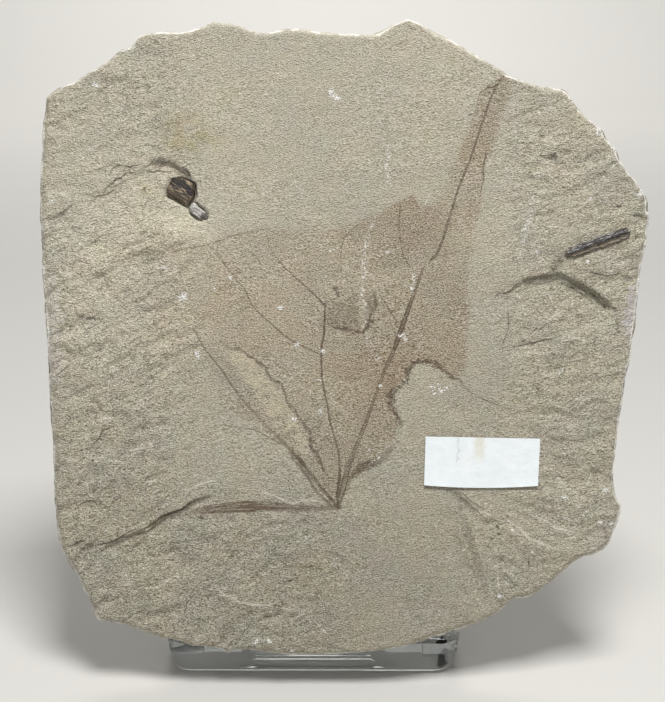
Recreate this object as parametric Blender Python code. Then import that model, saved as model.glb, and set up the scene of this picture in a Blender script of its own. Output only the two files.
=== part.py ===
"""Fossil sycamore leaf: a broken slab of shale on a clear display stand, at real size.

Lengths are in millimetres and become metres when a mesh is made. What lies on the
slab is drawn in the slab's own plane: x across the face, y up the face, z out of it.
The frame's origin is the middle of the stand's underside, with the face towards -Y.
"""
import math

import bmesh
import bpy
from mathutils import Vector, noise
from mathutils.geometry import delaunay_2d_cdt

MM = 0.001

# Clearance between two pieces that touch.
GAP = 0.3

# The slab leans back, and its face's own origin is this far from the frame's.
LEAN = math.radians(17.0)
FACE_ORIGIN = Vector((6.2, -10.3, 103.2))
THICKNESS = 13.0

# Mesh spacing over the slab.
RIM_STEP = 5.0
FACE_STEP = 5.1
BACK_STEP = 9.5
BEVEL_INSET = 2.0
CLEAR_OF_RIM = 2.6
CLEAR_OF_LINE = 2.3
LEDGE_STEP = 3.0
SEAT_STEP = 3.2
FIELD_LOW = (-96.0, -102.0)
FIELD_SIZE = (200.0, 210.0)

# The broken side wall, ring by ring: depth behind the face, how far in, and its roughness.
WALL_RINGS = [(4.6, -0.5, 0.8), (8.6, 0.2, 1.2), (12.0, 1.6, 1.2)]
BACK_HOLLOW = 1.1

# The stand.
STAND_WIDTH = 95.0
STAND_DEPTH = 64.0
STAND_CORNER = 7.0
FLOOR_TOP = 5.5
BAR_TOP = 12.0
BAR_DEPTH = 7.7
NOTCH_HALF_WIDTH = 18.5
NOTCH_FLOOR = 7.3
POCKET_LOW = 2.6
POCKET_HIGH = 5.8
POCKET_FLARE = 4.8
POCKET_DEPTH = 2.6
REST_THICKNESS = 3.6
REST_FOOT_HALF = 36.0
REST_TOP_HALF = 25.0
REST_TOP = 112.0
REST_CORNER = 9.0
RIB_X = 22.0
RIB_THICKNESS = 3.0
RIB_REACH = 30.0
RIB_TOP = 52.0
EDGE_ROUND = 0.6

# The slab's broken outline, clockwise from its upper left corner.
OUTLINE = [
    (-90.2, 80.3), (-85.8, 82.8), (-79.5, 85.7), (-76.4, 87.7), (-70.1, 91.5), (-66.9, 94.5),
    (-64.7, 95.4), (-62.8, 96.7), (-61.6, 98.4), (-60.3, 99.5), (-56.5, 100.3), (-48.0, 100.3),
    (-44.9, 100.8), (-41.7, 101.9), (-39.2, 103.0), (-37.0, 103.6), (-32.3, 103.2), (-29.1, 102.4),
    (-26.6, 101.3), (-24.1, 100.3), (-21.3, 100.2), (-18.1, 100.6), (-15.0, 101.4), (-8.7, 101.1),
    (-3.3, 100.2), (11.8, 99.7), (15.0, 100.0), (18.1, 102.2), (21.3, 104.0), (23.2, 104.4),
    (25.0, 104.3), (27.9, 102.7), (30.7, 100.8), (37.0, 98.0), (43.3, 94.2), (49.6, 90.4),
    (52.8, 88.4), (55.0, 86.5), (59.1, 85.2), (63.8, 83.5), (70.1, 82.8), (72.3, 82.4),
    (73.6, 81.6), (76.4, 77.5), (79.9, 73.6), (83.6, 70.7), (84.9, 69.3), (85.5, 67.7),
    (89.0, 63.6), (90.2, 60.2), (93.7, 55.6), (98.8, 49.3), (99.1, 44.1), (100.0, 42.2),
    (99.7, 40.3), (98.9, 38.1), (98.9, 35.0), (97.2, 27.1), (96.2, 19.2), (94.7, 6.6),
    (94.0, -1.3), (92.5, -6.0), (90.6, -18.6), (88.8, -32.8), (88.2, -40.6), (89.0, -45.7),
    (90.9, -48.2), (90.7, -50.7), (88.7, -56.4), (86.8, -61.1), (84.3, -63.0), (81.7, -64.1),
    (79.5, -64.4), (77.3, -65.4), (74.8, -67.1), (70.4, -71.3), (65.4, -75.3), (62.8, -77.0),
    (60.3, -77.5), (57.5, -77.8), (55.6, -79.1), (52.8, -81.9), (46.5, -85.2), (40.2, -87.9),
    (33.9, -89.8), (27.6, -91.8), (21.3, -93.6), (15.0, -94.5), (7.1, -95.3), (-3.9, -95.9),
    (-13.4, -96.1), (-16.5, -95.8), (-23.5, -94.7), (-30.7, -94.3), (-32.9, -95.4), (-34.2, -94.5),
    (-37.0, -93.7), (-43.3, -93.1), (-46.1, -92.5), (-48.7, -91.5), (-52.8, -90.9), (-59.1, -88.2),
    (-65.4, -86.2), (-73.2, -84.6), (-74.2, -83.9), (-75.4, -81.3), (-76.4, -78.4), (-82.7, -66.8),
    (-85.4, -62.4), (-86.9, -54.8), (-87.6, -45.4), (-88.2, -26.5), (-89.3, -9.1), (-90.1, 9.8),
    (-91.0, 22.4), (-91.8, 35.0), (-92.0, 47.6), (-91.7, 60.2), (-91.2, 71.2),
]

# Ledges of the split face: the ground falls to the right of each line, walked in order,
# by the drop, and climbs back to the general level over the reach.
LEDGES = {
    "hollow wall": {
        "line": [(-76.0, 47.5), (-71.7, 51.7), (-65.4, 56.4), (-60.6, 57.6), (-55.9, 59.9), (-49.6, 59.2),
                 (-44.9, 55.1), (-41.9, 49.5), (-40.0, 43.0)],
        "drop": 2.6, "reach": 12.0, "edge": 1.5,
    },
    "right step": {
        "line": [(51.2, 17.0), (54.3, 18.0), (57.5, 20.8), (60.6, 22.7), (65.4, 23.9), (71.7, 25.1),
                 (76.4, 22.4), (81.1, 20.2), (84.3, 18.0), (87.4, 15.4), (91.5, 11.5)],
        "drop": 1.9, "reach": 20.0, "edge": 1.5,
    },
    "lower left ledge": {
        "line": [(-86.0, -62.3), (-78.0, -60.2), (-71.7, -60.5), (-64.4, -57.6), (-58.1, -55.4),
                 (-53.7, -52.0), (-47.1, -49.8), (-41.7, -46.6), (-36.0, -45.2)],
        "drop": 1.3, "reach": 16.0, "edge": 1.3,
    },
    "lower right split": {
        "line": [(38.6, -44.0), (43.3, -47.9), (49.6, -53.6), (59.1, -59.0), (66.9, -62.6), (73.0, -65.5)],
        "drop": 0.9, "reach": 9.0, "edge": 1.2,
    },
    "lower right flute": {
        "line": [(39.5, -47.5), (40.8, -59.5), (44.9, -69.0), (48.4, -79.0)],
        "drop": 0.8, "reach": 8.0, "edge": 1.2,
    },
}

# Outlines of what lies on the face, drawn in the slab's plane.
CHIP = [(-52.4, 50.7), (-50.6, 53.9), (-47.4, 54.5), (-43.6, 52.6), (-43.3, 48.8), (-45.5, 45.4),
        (-49.3, 47.6), (-52.2, 49.1)]
SPLINTER = [(-45.3, 44.9), (-44.3, 46.6), (-43.1, 46.5), (-42.1, 45.2), (-41.1, 44.6), (-39.9, 43.5),
            (-39.8, 41.9), (-41.1, 41.4), (-42.7, 41.7), (-44.6, 43.2)]
LABEL = [(29.3, -26.9), (65.4, -27.6), (64.6, -42.4), (57.0, -42.9), (46.5, -43.1), (36.0, -42.6),
         (28.8, -42.2)]
TWIG_START = (73.7, 30.4)
TWIG_END = (93.4, 37.5)
TWIG_HALF_WIDTHS = [1.1, 1.6, 1.65, 1.65, 1.75, 1.9, 1.2]

CHIP_HEIGHT = 2.0
SPLINTER_HEIGHT = 1.2
LABEL_THICKNESS = 0.3
TWIG_HEIGHT = 1.2

# Flat seats in the stone: where each piece lies, the level there and the ground around it.
SEAT_MARGIN = 1.1
SEAT_FADE = 3.5
SEAT_LEVELS = {"chip": -2.4, "splinter": -2.2, "label": -0.1, "twig": -0.3}


def smooth_step(value):
    """A soft step from 0 to 1 as value goes from 0 to 1."""
    t = min(1.0, max(0.0, value))
    return t * t * (3.0 - 2.0 * t)


def segment_place(point, start, end):
    """Distance from a point to a segment, the share of the way along it, and the side."""
    along = end - start
    share = min(1.0, max(0.0, (point - start).dot(along) / along.length_squared))
    offset = point - (start + along * share)
    side = along.x * offset.y - along.y * offset.x
    return offset.length, share, side


def line_place(point, line):
    """Signed distance to a line, positive on its right, and how far along it the point is."""
    best = None
    count = len(line) - 1
    for index in range(count):
        distance, share, side = segment_place(point, Vector(line[index]), Vector(line[index + 1]))
        if best is None or distance < best[0]:
            best = (distance, (index + share) / count, side)
    distance, progress, side = best
    return (distance if side < 0.0 else -distance), progress


def outside(point, polygon):
    """Distance from a point to a polygon, 0 inside it."""
    inside = False
    nearest = 1.0e9
    count = len(polygon)
    for index in range(count):
        a = Vector(polygon[index])
        b = Vector(polygon[(index + 1) % count])
        nearest = min(nearest, segment_place(point, a, b)[0])
        if (a.y > point.y) != (b.y > point.y):
            if point.x < a.x + (b.x - a.x) * (point.y - a.y) / (b.y - a.y):
                inside = not inside
    return 0.0 if inside else nearest


def grown(polygon, margin):
    """A polygon's corners moved out from its middle by a margin."""
    middle = sum((Vector(p) for p in polygon), Vector((0.0, 0.0))) / len(polygon)
    corners = []
    for corner in polygon:
        offset = Vector(corner) - middle
        corners.append(middle + offset * (1.0 + margin / offset.length))
    return corners


def widened(polygon, margin):
    """A clockwise polygon with every side moved out by a margin, for a long shape."""
    corners = []
    count = len(polygon)
    for index in range(count):
        before = (Vector(polygon[index]) - Vector(polygon[index - 1])).normalized()
        after = (Vector(polygon[(index + 1) % count]) - Vector(polygon[index])).normalized()
        out = Vector((-(before + after).y, (before + after).x))
        out.normalize()
        corners.append(Vector(polygon[index]) + out * margin * 1.2)
    return corners


def twig_outline():
    """The twig's outline on the face, clockwise, from its half widths."""
    start = Vector(TWIG_START)
    along = Vector(TWIG_END) - start
    across = Vector((-along.y, along.x)).normalized()
    last = len(TWIG_HALF_WIDTHS) - 1
    upper = [start + along * i / last + across * w for i, w in enumerate(TWIG_HALF_WIDTHS)]
    lower = [start + along * i / last - across * w for i, w in enumerate(TWIG_HALF_WIDTHS)]
    return upper + lower[::-1]


SEATS = [
    (widened(LABEL, SEAT_MARGIN), SEAT_LEVELS["label"]),
    (widened(twig_outline(), SEAT_MARGIN), SEAT_LEVELS["twig"]),
    (grown(CHIP, SEAT_MARGIN), SEAT_LEVELS["chip"]),
    (grown(SPLINTER, SEAT_MARGIN), SEAT_LEVELS["splinter"]),
]


def open_ground(point):
    """Height of the split face before its seats: slow waves, and the ledges."""
    slow = noise.noise(Vector((point.x * 0.022, point.y * 0.030, 3.1)))
    ripple = noise.noise(Vector((point.x * 0.075, point.y * 0.15, 8.7)))
    rough_side = smooth_step((abs(point.x - 5.0) - 25.0) / 50.0)
    height = 0.55 * slow + (0.15 + 0.30 * rough_side) * ripple
    for ledge in LEDGES.values():
        distance, progress = line_place(point, ledge["line"])
        if distance > 0.0:
            ends = smooth_step(progress / 0.15) * smooth_step((1.0 - progress) / 0.15)
            fall = smooth_step(distance / ledge["edge"])
            rise = 1.0 - smooth_step((distance - ledge["edge"]) / ledge["reach"])
            height -= ledge["drop"] * ends * fall * rise
    return height


def ground(point):
    """Height of the split face, level under each piece that lies on it."""
    height = open_ground(point)
    for polygon, level in SEATS:
        away = outside(point, polygon)
        if away < SEAT_FADE:
            height = level + (height - level) * smooth_step(away / SEAT_FADE)
    return height


def rim_loop():
    """The outline with its long sides broken into short, slightly rough ones."""
    loop = []
    count = len(OUTLINE)
    for index in range(count):
        start = Vector(OUTLINE[index])
        end = Vector(OUTLINE[(index + 1) % count])
        pieces = max(1, round((end - start).length / RIM_STEP))
        across = Vector((end.y - start.y, start.x - end.x)).normalized()
        for piece in range(pieces):
            point = start.lerp(end, piece / pieces)
            if piece:
                point += across * 0.3 * noise.noise(Vector((point.x * 0.4, point.y * 0.4, 1.7)))
            loop.append(point)
    return loop


def inward(loop, index, spread):
    """The direction into a clockwise loop, averaged over its neighbours."""
    count = len(loop)
    along = loop[(index + spread) % count] - loop[(index - spread) % count]
    return Vector((along.y, -along.x)).normalized()


def eased(loop, passes):
    """A loop with its small nicks rubbed down."""
    points = [p.copy() for p in loop]
    count = len(points)
    for _ in range(passes):
        points = [
            points[i] * 0.5 + (points[i - 1] + points[(i + 1) % count]) * 0.25 for i in range(count)
        ]
    return points


def lattice(step, keep):
    """Points of a triangular lattice over the slab that pass a test."""
    points = []
    row_height = step * math.sqrt(3.0) / 2.0
    rows = int(FIELD_SIZE[1] / row_height)
    columns = int(FIELD_SIZE[0] / step)
    for row in range(rows):
        for column in range(columns):
            x = FIELD_LOW[0] + (column + 0.5 * (row % 2)) * step
            y = FIELD_LOW[1] + row * row_height
            point = Vector((x, y))
            if keep(point):
                points.append(point)
    return points


def stroke(line, shift, spacing):
    """Evenly spaced points along a line, moved to its right by a shift."""
    points = []
    for start, end in zip(line, line[1:]):
        a = Vector(start)
        b = Vector(end)
        right = Vector((b.y - a.y, a.x - b.x)).normalized()
        pieces = max(1, round((b - a).length / spacing))
        for piece in range(pieces):
            points.append(a.lerp(b, piece / pieces) + right * shift)
    return points


def deep_inside(loop, margin):
    """A test for points at least a margin inside a loop."""
    def test(point):
        if outside(point, loop) > 0.0:
            return False
        count = len(loop)
        return all(segment_place(point, loop[i], loop[(i + 1) % count])[0] > margin for i in range(count))
    return test


def spaced(points, taken, clear):
    """The points that keep clear of those already taken."""
    kept = []
    for point in points:
        if all((point - other).length > clear for other in taken):
            kept.append(point)
    return kept


def seat_border(polygon):
    """Points along a seat's edge, close enough to keep the seat level."""
    points = []
    count = len(polygon)
    for index in range(count):
        a = Vector(polygon[index])
        b = Vector(polygon[(index + 1) % count])
        pieces = max(1, round((b - a).length / SEAT_STEP))
        points += [a.lerp(b, piece / pieces) for piece in range(pieces)]
    return points


def face_points(rim):
    """Every point of the face inside its rim: bevel, seats, ledges and open ground."""
    inner = []
    for index, point in enumerate(rim):
        wide = BEVEL_INSET * (0.75 + 0.7 * noise.noise(Vector((point.x * 0.11, point.y * 0.11, 5.5))))
        inner.append(point + inward(rim, index, 2) * max(0.9, wide))
    taken = spaced_in_order(inner, 1.2)
    well_in = deep_inside(rim, CLEAR_OF_RIM)
    for polygon, _level in SEATS:
        border = [p for p in seat_border(polygon) if well_in(p)]
        taken += spaced(border, taken, 0.8)
    for ledge in LEDGES.values():
        for shift in (0.0, ledge["edge"]):
            points = [p for p in stroke(ledge["line"], shift, LEDGE_STEP) if well_in(p)]
            taken += spaced(points, taken, 1.1)
    open_points = lattice(FACE_STEP, well_in)
    return taken + spaced(open_points, taken, CLEAR_OF_LINE)


def spaced_in_order(points, clear):
    """A run of points without those that crowd the one before."""
    kept = []
    for point in points:
        if not kept or (point - kept[-1]).length > clear:
            kept.append(point)
    return kept


def filled(loop, points):
    """A triangulated sheet over a loop and the points inside it."""
    coordinates, _edges, faces, _v, _e, _f = delaunay_2d_cdt(
        loop + points, [], [list(range(len(loop)))], 1, 1.0e-6
    )
    return coordinates, faces


def wall_ring(rim, depth, inset, rough):
    """A ring of the broken side wall at a depth behind the face, flat where it stands."""
    passes = int(depth / 2.5)
    base = eased(rim, passes)
    low = (BAR_TOP + GAP + 0.05 - FACE_ORIGIN.z + depth * math.sin(LEAN)) / math.cos(LEAN)
    ring = []
    for index, point in enumerate(base):
        bump = noise.noise(Vector((point.x * 0.12, point.y * 0.12, depth * 0.35)))
        moved = point + inward(base, index, 3) * (inset + rough * bump)
        if depth > 4.5 and moved.y < 0.0:
            moved.y = max(moved.y, low)
        ring.append(Vector((moved.x, moved.y, -depth)))
    return ring


def slab_mesh():
    """The slab: a split face in low relief, broken walls and a plain rough back."""
    rim = rim_loop()
    flat, faces = filled(rim, face_points(rim))
    rim_count = len(rim)
    bm = bmesh.new()
    for index, point in enumerate(flat):
        if index < rim_count:
            fall = 1.5 + 0.9 * noise.noise(Vector((point.x * 0.13, point.y * 0.13, 9.2)))
            bm.verts.new((point.x, point.y, ground(point) - fall))
        else:
            bm.verts.new((point.x, point.y, ground(point)))
    bm.verts.ensure_lookup_table()
    for face in faces:
        bm.faces.new([bm.verts[i] for i in face])

    above = [bm.verts[i] for i in range(rim_count)]
    for depth, inset, rough in WALL_RINGS:
        below = [bm.verts.new(p) for p in wall_ring(rim, depth, inset, rough)]
        for i in range(rim_count):
            j = (i + 1) % rim_count
            bm.faces.new([above[i], below[i], below[j], above[j]])
        above = below

    back_loop = [Vector((v.co.x, v.co.y)) for v in above]
    near_rim = deep_inside(back_loop, 5.0)
    back_flat, back_faces = filled(back_loop, lattice(BACK_STEP, near_rim))
    back_verts = list(above)
    for point in back_flat[rim_count:]:
        hollow = 0.5 + 0.5 * noise.noise(Vector((point.x * 0.03, point.y * 0.03, 21.0)))
        back_verts.append(bm.verts.new((point.x, point.y, -THICKNESS + BACK_HOLLOW * hollow)))
    for face in back_faces:
        bm.faces.new([back_verts[i] for i in reversed(face)])
    bmesh.ops.recalc_face_normals(bm, faces=bm.faces)
    return bm


def prism(polygon, low, high, crown=0.0, shrink=1.0):
    """A flat piece with an outline, from a low level to a high one, its top drawn in and crowned."""
    bm = bmesh.new()
    count = len(polygon)
    middle = sum((Vector(p) for p in polygon), Vector((0.0, 0.0))) / count
    bottom = [bm.verts.new((p[0], p[1], low)) for p in polygon]
    shoulder = low + (high - low) * 0.6
    sides = [bottom, [bm.verts.new((p[0], p[1], shoulder)) for p in polygon]]
    top = []
    for corner in polygon:
        drawn = middle.lerp(Vector(corner), shrink)
        top.append(bm.verts.new((drawn.x, drawn.y, high)))
    sides.append(top)
    for lower, upper in zip(sides, sides[1:]):
        for i in range(count):
            j = (i + 1) % count
            bm.faces.new([lower[i], lower[j], upper[j], upper[i]])
    peak = bm.verts.new((middle.x, middle.y, high + crown))
    for i in range(count):
        bm.faces.new([top[i], top[(i + 1) % count], peak])
    bm.faces.new(bottom[::-1])
    bmesh.ops.recalc_face_normals(bm, faces=bm.faces)
    return bm


def twig_mesh():
    """The twig: a half round bar with worn ends, flat where it lies on the stone."""
    bm = bmesh.new()
    start = Vector(TWIG_START)
    along = Vector(TWIG_END) - start
    across = Vector((-along.y, along.x)).normalized()
    low = SEAT_LEVELS["twig"] + GAP
    last = len(TWIG_HALF_WIDTHS) - 1
    rings = []
    for index, half in enumerate(TWIG_HALF_WIDTHS):
        middle = start + along * index / last
        ring = []
        for step in range(7):
            angle = math.pi * step / 6.0
            spot = middle + across * half * math.cos(angle)
            lift = TWIG_HEIGHT * min(1.0, half) * math.sin(angle)
            ring.append(bm.verts.new((spot.x, spot.y, low + lift)))
        rings.append(ring)
    for a, b in zip(rings, rings[1:]):
        for i in range(7):
            j = (i + 1) % 7
            bm.faces.new([a[i], b[i], b[j], a[j]])
    bm.faces.new(rings[0])
    bm.faces.new(rings[-1][::-1])
    bmesh.ops.recalc_face_normals(bm, faces=bm.faces)
    return bm


def rounded_plan(inset):
    """The stand's plan outline, drawn in by an inset, anticlockwise from its right side."""
    half_x = STAND_WIDTH / 2.0 - inset
    half_y = STAND_DEPTH / 2.0 - inset
    radius = STAND_CORNER - inset * 0.5
    corners = [(half_x, half_y, 0), (-half_x, half_y, 1), (-half_x, -half_y, 2), (half_x, -half_y, 3)]
    points = []
    for x, y, quarter in corners:
        cx = x - math.copysign(radius, x)
        cy = y - math.copysign(radius, y)
        for step in range(7):
            angle = math.pi / 2.0 * (quarter + step / 6.0)
            points.append((cx + radius * math.cos(angle), cy + radius * math.sin(angle)))
    return points


def loft(sections):
    """A closed solid through level outlines, each with its height."""
    bm = bmesh.new()
    rings = [[bm.verts.new((x, y, z)) for x, y in outline] for outline, z in sections]
    for lower, upper in zip(rings, rings[1:]):
        count = len(lower)
        for i in range(count):
            j = (i + 1) % count
            bm.faces.new([lower[i], lower[j], upper[j], upper[i]])
    bm.faces.new(rings[0][::-1])
    bm.faces.new(rings[-1])
    return bm


def extruded(profile, direction):
    """A closed solid: a flat profile of 3D points pushed along a direction."""
    bm = bmesh.new()
    face = bm.faces.new([bm.verts.new(p) for p in profile])
    pushed = bmesh.ops.extrude_face_region(bm, geom=[face])
    moved = [item for item in pushed["geom"] if isinstance(item, bmesh.types.BMVert)]
    bmesh.ops.translate(bm, vec=direction, verts=moved)
    bmesh.ops.recalc_face_normals(bm, faces=bm.faces)
    return bm


def on_slab(x, y, z):
    """A point of the slab's plane in the frame."""
    up = Vector((0.0, math.sin(LEAN), math.cos(LEAN)))
    out = Vector((0.0, -math.cos(LEAN), math.sin(LEAN)))
    return FACE_ORIGIN + Vector((x, 0.0, 0.0)) + up * y + out * z


def rest_profile():
    """The back rest's front face, in the slab's plane just behind the stone."""
    depth = -(THICKNESS + GAP)
    foot = (2.0 - FACE_ORIGIN.z - depth * math.sin(LEAN)) / math.cos(LEAN)
    head = (REST_TOP - FACE_ORIGIN.z - depth * math.sin(LEAN)) / math.cos(LEAN)
    points = [(-REST_FOOT_HALF, foot), (REST_FOOT_HALF, foot)]
    for step in range(6):
        angle = math.pi / 2.0 * step / 5.0
        points.append((
            REST_TOP_HALF - REST_CORNER + REST_CORNER * math.cos(angle),
            head - REST_CORNER + REST_CORNER * math.sin(angle),
        ))
    for step in range(6):
        angle = math.pi / 2.0 * (1.0 + step / 5.0)
        points.append((
            -REST_TOP_HALF + REST_CORNER + REST_CORNER * math.cos(angle),
            head - REST_CORNER + REST_CORNER * math.sin(angle),
        ))
    return [on_slab(x - FACE_ORIGIN.x, y, depth) for x, y in points]


def new_object(name, bm, material=None):
    """An object from a mesh in millimetres."""
    bmesh.ops.scale(bm, vec=(MM, MM, MM), verts=bm.verts)
    mesh = bpy.data.meshes.new(name)
    bm.to_mesh(mesh)
    bm.free()
    obj = bpy.data.objects.new(name, mesh)
    bpy.context.scene.collection.objects.link(obj)
    if material:
        mesh.materials.append(material)
    return obj


def new_material(name, colour, roughness, transmission=0.0):
    """A Principled material."""
    material = bpy.data.materials.new(name)
    material.use_nodes = True
    shader = material.node_tree.nodes["Principled BSDF"]
    shader.inputs["Base Color"].default_value = (*colour, 1.0)
    shader.inputs["Roughness"].default_value = roughness
    shader.inputs["Metallic"].default_value = 0.0
    shader.inputs["Transmission Weight"].default_value = transmission
    material.diffuse_color = (*colour, 1.0)
    return material


def guide(name, bm):
    """A shape that only cuts or joins another, hidden from the build."""
    obj = new_object(name, bm)
    obj.hide_render = True
    obj.display_type = "WIRE"
    return obj


def combine(target, tool, operation):
    """A Boolean between an object and a guide."""
    modifier = target.modifiers.new(tool.name, "BOOLEAN")
    modifier.operation = operation
    modifier.object = tool
    modifier.solver = "EXACT"


def build_stand(material):
    """The clear stand: a foot with a raised front bar, a leaning rest and two ribs behind it."""
    half_x = STAND_WIDTH / 2.0
    front = -STAND_DEPTH / 2.0
    back = STAND_DEPTH / 2.0
    foot = loft([
        (rounded_plan(4.2), 0.0), (rounded_plan(2.6), 0.6), (rounded_plan(1.5), 2.0),
        (rounded_plan(0.9), 4.0), (rounded_plan(0.0), BAR_TOP),
    ])
    stand = new_object("stand", foot, material)

    well = [(-half_x - 2.0, front + BAR_DEPTH, FLOOR_TOP), (-half_x - 2.0, back + 2.0, FLOOR_TOP),
            (-half_x - 2.0, back + 2.0, BAR_TOP + 2.0), (-half_x - 2.0, front + BAR_DEPTH, BAR_TOP + 2.0)]
    combine(stand, guide("stand_well", extruded(well, (STAND_WIDTH + 4.0, 0.0, 0.0))), "DIFFERENCE")

    backward = on_slab(0.0, 0.0, -REST_THICKNESS) - on_slab(0.0, 0.0, 0.0)
    combine(stand, guide("stand_rest", extruded(rest_profile(), backward)), "UNION")

    rest_back = on_slab(0.0, 0.0, -(THICKNESS + GAP + REST_THICKNESS - 1.0))
    slope = math.tan(LEAN)
    low_y = rest_back.y + (FLOOR_TOP - 2.0 - rest_back.z) * slope
    high_y = rest_back.y + (RIB_TOP - rest_back.z) * slope
    for side in (-1.0, 1.0):
        x = side * RIB_X - RIB_THICKNESS / 2.0
        rib = [(x, low_y, FLOOR_TOP - 2.0), (x, low_y + RIB_REACH, FLOOR_TOP - 2.0),
               (x, low_y + RIB_REACH, FLOOR_TOP + 2.5), (x, high_y + 1.5, RIB_TOP), (x, high_y, RIB_TOP)]
        name = "stand_rib_left" if side < 0.0 else "stand_rib_right"
        combine(stand, guide(name, extruded(rib, (RIB_THICKNESS, 0.0, 0.0))), "UNION")

    above = BAR_TOP + 3.0
    notch = [(-NOTCH_HALF_WIDTH, front - 2.0, NOTCH_FLOOR), (NOTCH_HALF_WIDTH, front - 2.0, NOTCH_FLOOR),
             (NOTCH_HALF_WIDTH, front - 2.0, above), (-NOTCH_HALF_WIDTH, front - 2.0, above)]
    combine(stand, guide("stand_notch", extruded(notch, (0.0, BAR_DEPTH + 1.6, 0.0))), "DIFFERENCE")

    wide = NOTCH_HALF_WIDTH + POCKET_FLARE
    pocket = [(-wide, front - 2.0, POCKET_LOW), (wide, front - 2.0, POCKET_LOW),
              (NOTCH_HALF_WIDTH, front - 2.0, POCKET_HIGH), (-NOTCH_HALF_WIDTH, front - 2.0, POCKET_HIGH)]
    combine(stand, guide("stand_pocket", extruded(pocket, (0.0, 2.0 + POCKET_DEPTH, 0.0))), "DIFFERENCE")

    rounding = stand.modifiers.new("rounding", "BEVEL")
    rounding.width = EDGE_ROUND * MM
    rounding.segments = 2
    rounding.limit_method = "ANGLE"
    rounding.angle_limit = math.radians(50.0)
    return stand


def main():
    for obj in list(bpy.data.objects):
        bpy.data.objects.remove(obj, do_unlink=True)

    face = bpy.data.objects.new("slab_face", None)
    bpy.context.scene.collection.objects.link(face)
    face.location = FACE_ORIGIN * MM
    face.rotation_euler = (math.pi / 2.0 - LEAN, 0.0, 0.0)

    stone = new_material("shale", (0.37, 0.34, 0.27), 0.9)
    charcoal = new_material("carbonised_wood", (0.035, 0.026, 0.019), 0.6)
    mineral = new_material("mineral_filled_wood", (0.42, 0.40, 0.36), 0.65)
    twig_black = new_material("carbonised_twig", (0.03, 0.027, 0.025), 0.55)
    paper = new_material("label_paper", (0.80, 0.84, 0.84), 0.75)
    clear = new_material("clear_plastic", (0.97, 0.98, 0.98), 0.05, 1.0)

    chip_low = SEAT_LEVELS["chip"] + GAP
    splinter_low = SEAT_LEVELS["splinter"] + GAP
    label_low = SEAT_LEVELS["label"] + GAP
    pieces = [
        new_object("slab", slab_mesh(), stone),
        new_object("wood_chip", prism(CHIP[::-1], chip_low, chip_low + CHIP_HEIGHT, 0.2, 0.86), charcoal),
        new_object("wood_splinter", prism(
            SPLINTER[::-1], splinter_low, splinter_low + SPLINTER_HEIGHT, 0.15, 0.75), mineral),
        new_object("twig", twig_mesh(), twig_black),
        new_object("label", prism(LABEL[::-1], label_low, label_low + LABEL_THICKNESS), paper),
    ]
    for piece in pieces:
        piece.parent = face

    build_stand(clear)


main()
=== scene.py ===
"""Fossil sycamore leaf: a split slab of shale on a clear stand, dressed for its picture.

Run as a script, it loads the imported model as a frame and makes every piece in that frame.
Places on the slab are millimetres in the slab's own plane: x across the face, y up it and
z out of it. Colours are written as they look on a screen, 0 to 255, and made linear.
"""
import math

import bpy
import numpy as np
from mathutils import Matrix, Vector, noise


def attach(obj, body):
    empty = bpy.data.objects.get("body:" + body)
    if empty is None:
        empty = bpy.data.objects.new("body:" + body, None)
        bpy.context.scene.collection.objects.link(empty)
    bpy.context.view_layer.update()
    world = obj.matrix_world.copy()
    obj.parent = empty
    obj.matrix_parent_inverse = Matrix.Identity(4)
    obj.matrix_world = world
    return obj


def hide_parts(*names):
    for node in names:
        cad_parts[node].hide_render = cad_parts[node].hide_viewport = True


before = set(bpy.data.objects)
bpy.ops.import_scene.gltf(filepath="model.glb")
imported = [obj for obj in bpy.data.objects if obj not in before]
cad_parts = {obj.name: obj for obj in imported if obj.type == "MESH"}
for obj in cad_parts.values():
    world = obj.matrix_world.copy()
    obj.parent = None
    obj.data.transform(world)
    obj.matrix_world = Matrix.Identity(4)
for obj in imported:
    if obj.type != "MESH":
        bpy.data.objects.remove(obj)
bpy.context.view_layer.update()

bl_info = {
    "name": "Fossil Sycamore Leaf",
    "version": (1, 0, 0),
    "blender": (4, 5, 0),
    "location": "View3D > Sidebar > Fossil",
    "description": "Makes the fossil leaf slab, its wood, twig, label and stand",
    "category": "Add Mesh",
}

MM = 0.001

# The slab's plane in the frame.
LEAN = math.radians(17.0)
FACE_ORIGIN = Vector((6.2, -10.3, 103.2))
THICKNESS = 13.0
FROM_PLANE = (
    Matrix.Translation(FACE_ORIGIN * MM)
    @ Matrix.Rotation(math.pi / 2.0 - LEAN, 4, "X")
    @ Matrix.Scale(MM, 4)
)
TO_PLANE = FROM_PLANE.inverted()

# Depths behind the face that part the CAD mesh: its first ring of side, and its side's two limits.
FIRST_RING = -4.6
SIDE_TOP = -4.5
SIDE_FOOT = -11.9
FINE_CUTS = 5

# Where the slab stands on the bar and leans on the rest, it may only be cut back.
REST_LINE_Y = -86.0
REST_MIDDLE_X = -6.0
REST_HALF = 50.0
BAR_TOP = 12.35
RIM_SPREAD = 0.3

# The label's paper lies this far above its seat.
LABEL_CLEARANCE = 0.38

PLASTIC_IOR = 1.49

# The picture's frame, and how far off the face the camera stands.
FRAME_PIXELS = (665.0, 702.0)
FACE_PER_PIXEL = 0.315
CAMERA_DISTANCE = 400.0
FILM_SIDE = 36.0


def from_picture(points):
    """Places in the slab's plane, in millimetres, of points given in the picture's pixels."""
    across, up = FRAME_PIXELS
    return [
        ((x - across / 2.0) * FACE_PER_PIXEL, (up / 2.0 - y) * FACE_PER_PIXEL, *rest)
        for x, y, *rest in points
    ]


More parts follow.
